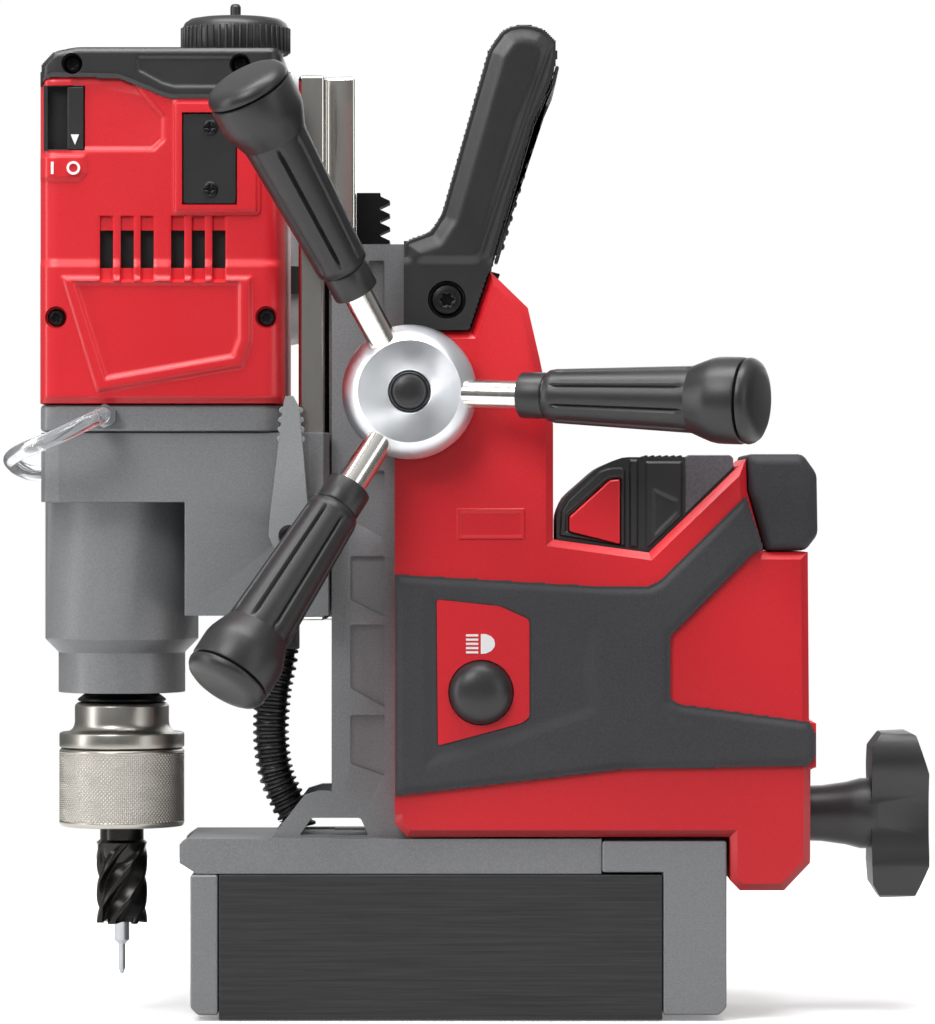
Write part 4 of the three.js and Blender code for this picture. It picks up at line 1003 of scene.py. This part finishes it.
# ---------------------------------------------------------------- fasteners
for count, (x, z) in enumerate(MOTOR_SCREWS + TOP_SCREWS, start=1):
    seat = 44.6 if z < 300 else 42.6
    for side, way in (("near", -1), ("far", 1)):
        add_screw(f"case_screw_{side}_{count}", (x, way * seat, z), "carriage", 3.6, 2.2, 6, 2.0)
for count, z in enumerate((363, 337.8), start=1):
    add_screw(f"plate_screw_{count}", (-93.5, -48.3, z), "carriage", 3.3, 1.2, 4, 2.1)
for side, y in (("near", -39.1), ("far", 39.1)):
    add_screw(f"handle_screw_{side}", (HANDLE_SCREW[0], y, HANDLE_SCREW[1]), "base", 6.6, 4.2, 6, 2.9)
add_screw("lever_screw", (-61.1, -54.3, 197.4), "lock_lever", 4.4, 2.4, 6, 2.3)


def ribs_across(count, low, high, step, material):
    """A row of small round bars that lie across the machine, from low to high in mm."""
    profile = [(0, low), (1.04, low), (1.3, low + 0.3), (1.3, high - 0.3), (1.04, high), (0, high)]
    return repeated(ROW, round_surface(profile, (0, 0, 0), (0, 1, 0), 16), count, material, step=step)


lever_lean = math.degrees(math.atan2(3.3, 46))
for side, x, lean in (("left", -64.8, lever_lean), ("right", -56.0, -lever_lean)):
    ribs = shifted(ribs_across(4, -54.0, -48.6, (0, 0, 3.9), ZINC), x, 0, 236.5, lean)
    place_piece(f"lever_ribs_{side}", ribs, "lock_lever", "cast_grey", ZINC)
for side, low, high in (("near", -40.5, -29.6), ("far", 29.6, 40.5)):
    ribs = shifted(ribs_across(9, low, high, (1.73, 0, 5.96), RUBBER), 25.4, 0, 319)
    place_piece(f"strip_ribs_{side}", ribs, "base", "black_rubber", RUBBER)
# painted shade: a black plate that fills the gap between the handle's foot and the housing, where shadow
# falls
gap_shade = prism([(9, 279.4), (14.4, 279.4), (24.4, 304.6), (19, 306)], -27, -24)
place_piece("foot_seal", rounded_edges(gap_shade, 0.4), "base", "black_rubber", PAINTED_SHADE)


# ---------------------------------------------------------------- printed and moulded signs
def flat_sign(name, outlines, y, body, slot="red_nylon"):
    """White shapes printed a quarter of a millimetre thick."""
    parts = [prism(points, y, y + 0.25) for points in outlines]
    place_piece(name, joined(*parts), body, slot, PRINT)


def ring_outline(x, z, inner_radius, outer_radius):
    """A ring as one outline that runs round its outer edge and back round its inner one."""
    turns = np.linspace(0, 2 * math.pi, 32)
    return ([(x + outer_radius * math.cos(a), z + outer_radius * math.sin(a)) for a in turns]
            + [(x + inner_radius * math.cos(a), z + inner_radius * math.sin(a)) for a in turns[::-1]])


flat_sign("slider_pointer", [[(-150, 360.2), (-146.6, 360.2), (-148.3, 356)]], -48.25, "power_slider",
          "black_nylon")
flat_sign("mark_on", [box_outline(-157.9, -156.8, 344, 349)], -49.85, "carriage")
flat_sign("mark_off", [ring_outline(-148.8, 346.5, 1.75, 2.75)], -49.9, "carriage")
lamp = [(16.4, 149.3), (18.6, 149.5), (20.8, 150.6), (22, 152.2), (22.2, 153.6), (21.8, 155.2), (20.4, 156.6),
        (18.4, 157.4), (16.4, 157.4)]
rays = [box_outline(10.4, 15.4, 149.5 + 1.72 * k, 150.4 + 1.72 * k) for k in range(5)]
flat_sign("lamp_mark", [lamp] + rays, -44.55, "base")


# ---------------------------------------------------------------- light button
dome = [(0, 0), (12.9, 0), (12.9, 5), (12.6, 6.2), (11.6, 7.9), (10.2, 9.3), (8.4, 10.4), (6.2, 11.2),
        (3.6, 11.7), (0, 11.9)]
stand_in("light_button_domed", round_surface(dome, (16.5, -39.4, 133.6), TO_NEAR, 72), "light_button")


# ---------------------------------------------------------------- shells and castings
EDGE_WIDTH = {          # how wide the rounding of each CAD node's edges is, in mm
    "magnet_block": 0.8, "front_end_plate": 1.0, "rear_end_block": 1.0, "column_casting": 1.2,
    "housing_near": 1.2, "housing_far": 1.2, "overmould_near": 0.6, "overmould_far": 0.6, "bay_cap": 1.8,
    "light_panel": 0.6, "carry_handle": 1.5, "handle_grip": 0.8, "battery_case": 1.2,
    "battery_latch_near": 0.9, "battery_latch_far": 0.9, "magnet_knob": 1.6, "slide_rail": 1.8,
    "gearbox_casting": 1.8, "gearbox_cover": 1.4, "motor_housing_near": 1.0, "motor_housing_far": 1.0,
    "motor_top_cap": 1.6, "nameplate": 0.35, "power_slider": 0.6,
    "lock_lever": 1.1, "bottle_bracket": 0.6, "conduit_gland": 0.6}
OWN_MATERIAL = {"lock_lever": ZINC}
for node, width in EDGE_WIDTH.items():
    stand_in(f"{node}_shell", rounded_edges(cad_copy(node), width), node, OWN_MATERIAL.get(node))

for node, slot in NODE_SLOT.items():
    mesh = frame["nodes"][node].data
    mesh.materials.clear()
    mesh.materials.append(SLOT_MATERIAL[slot])
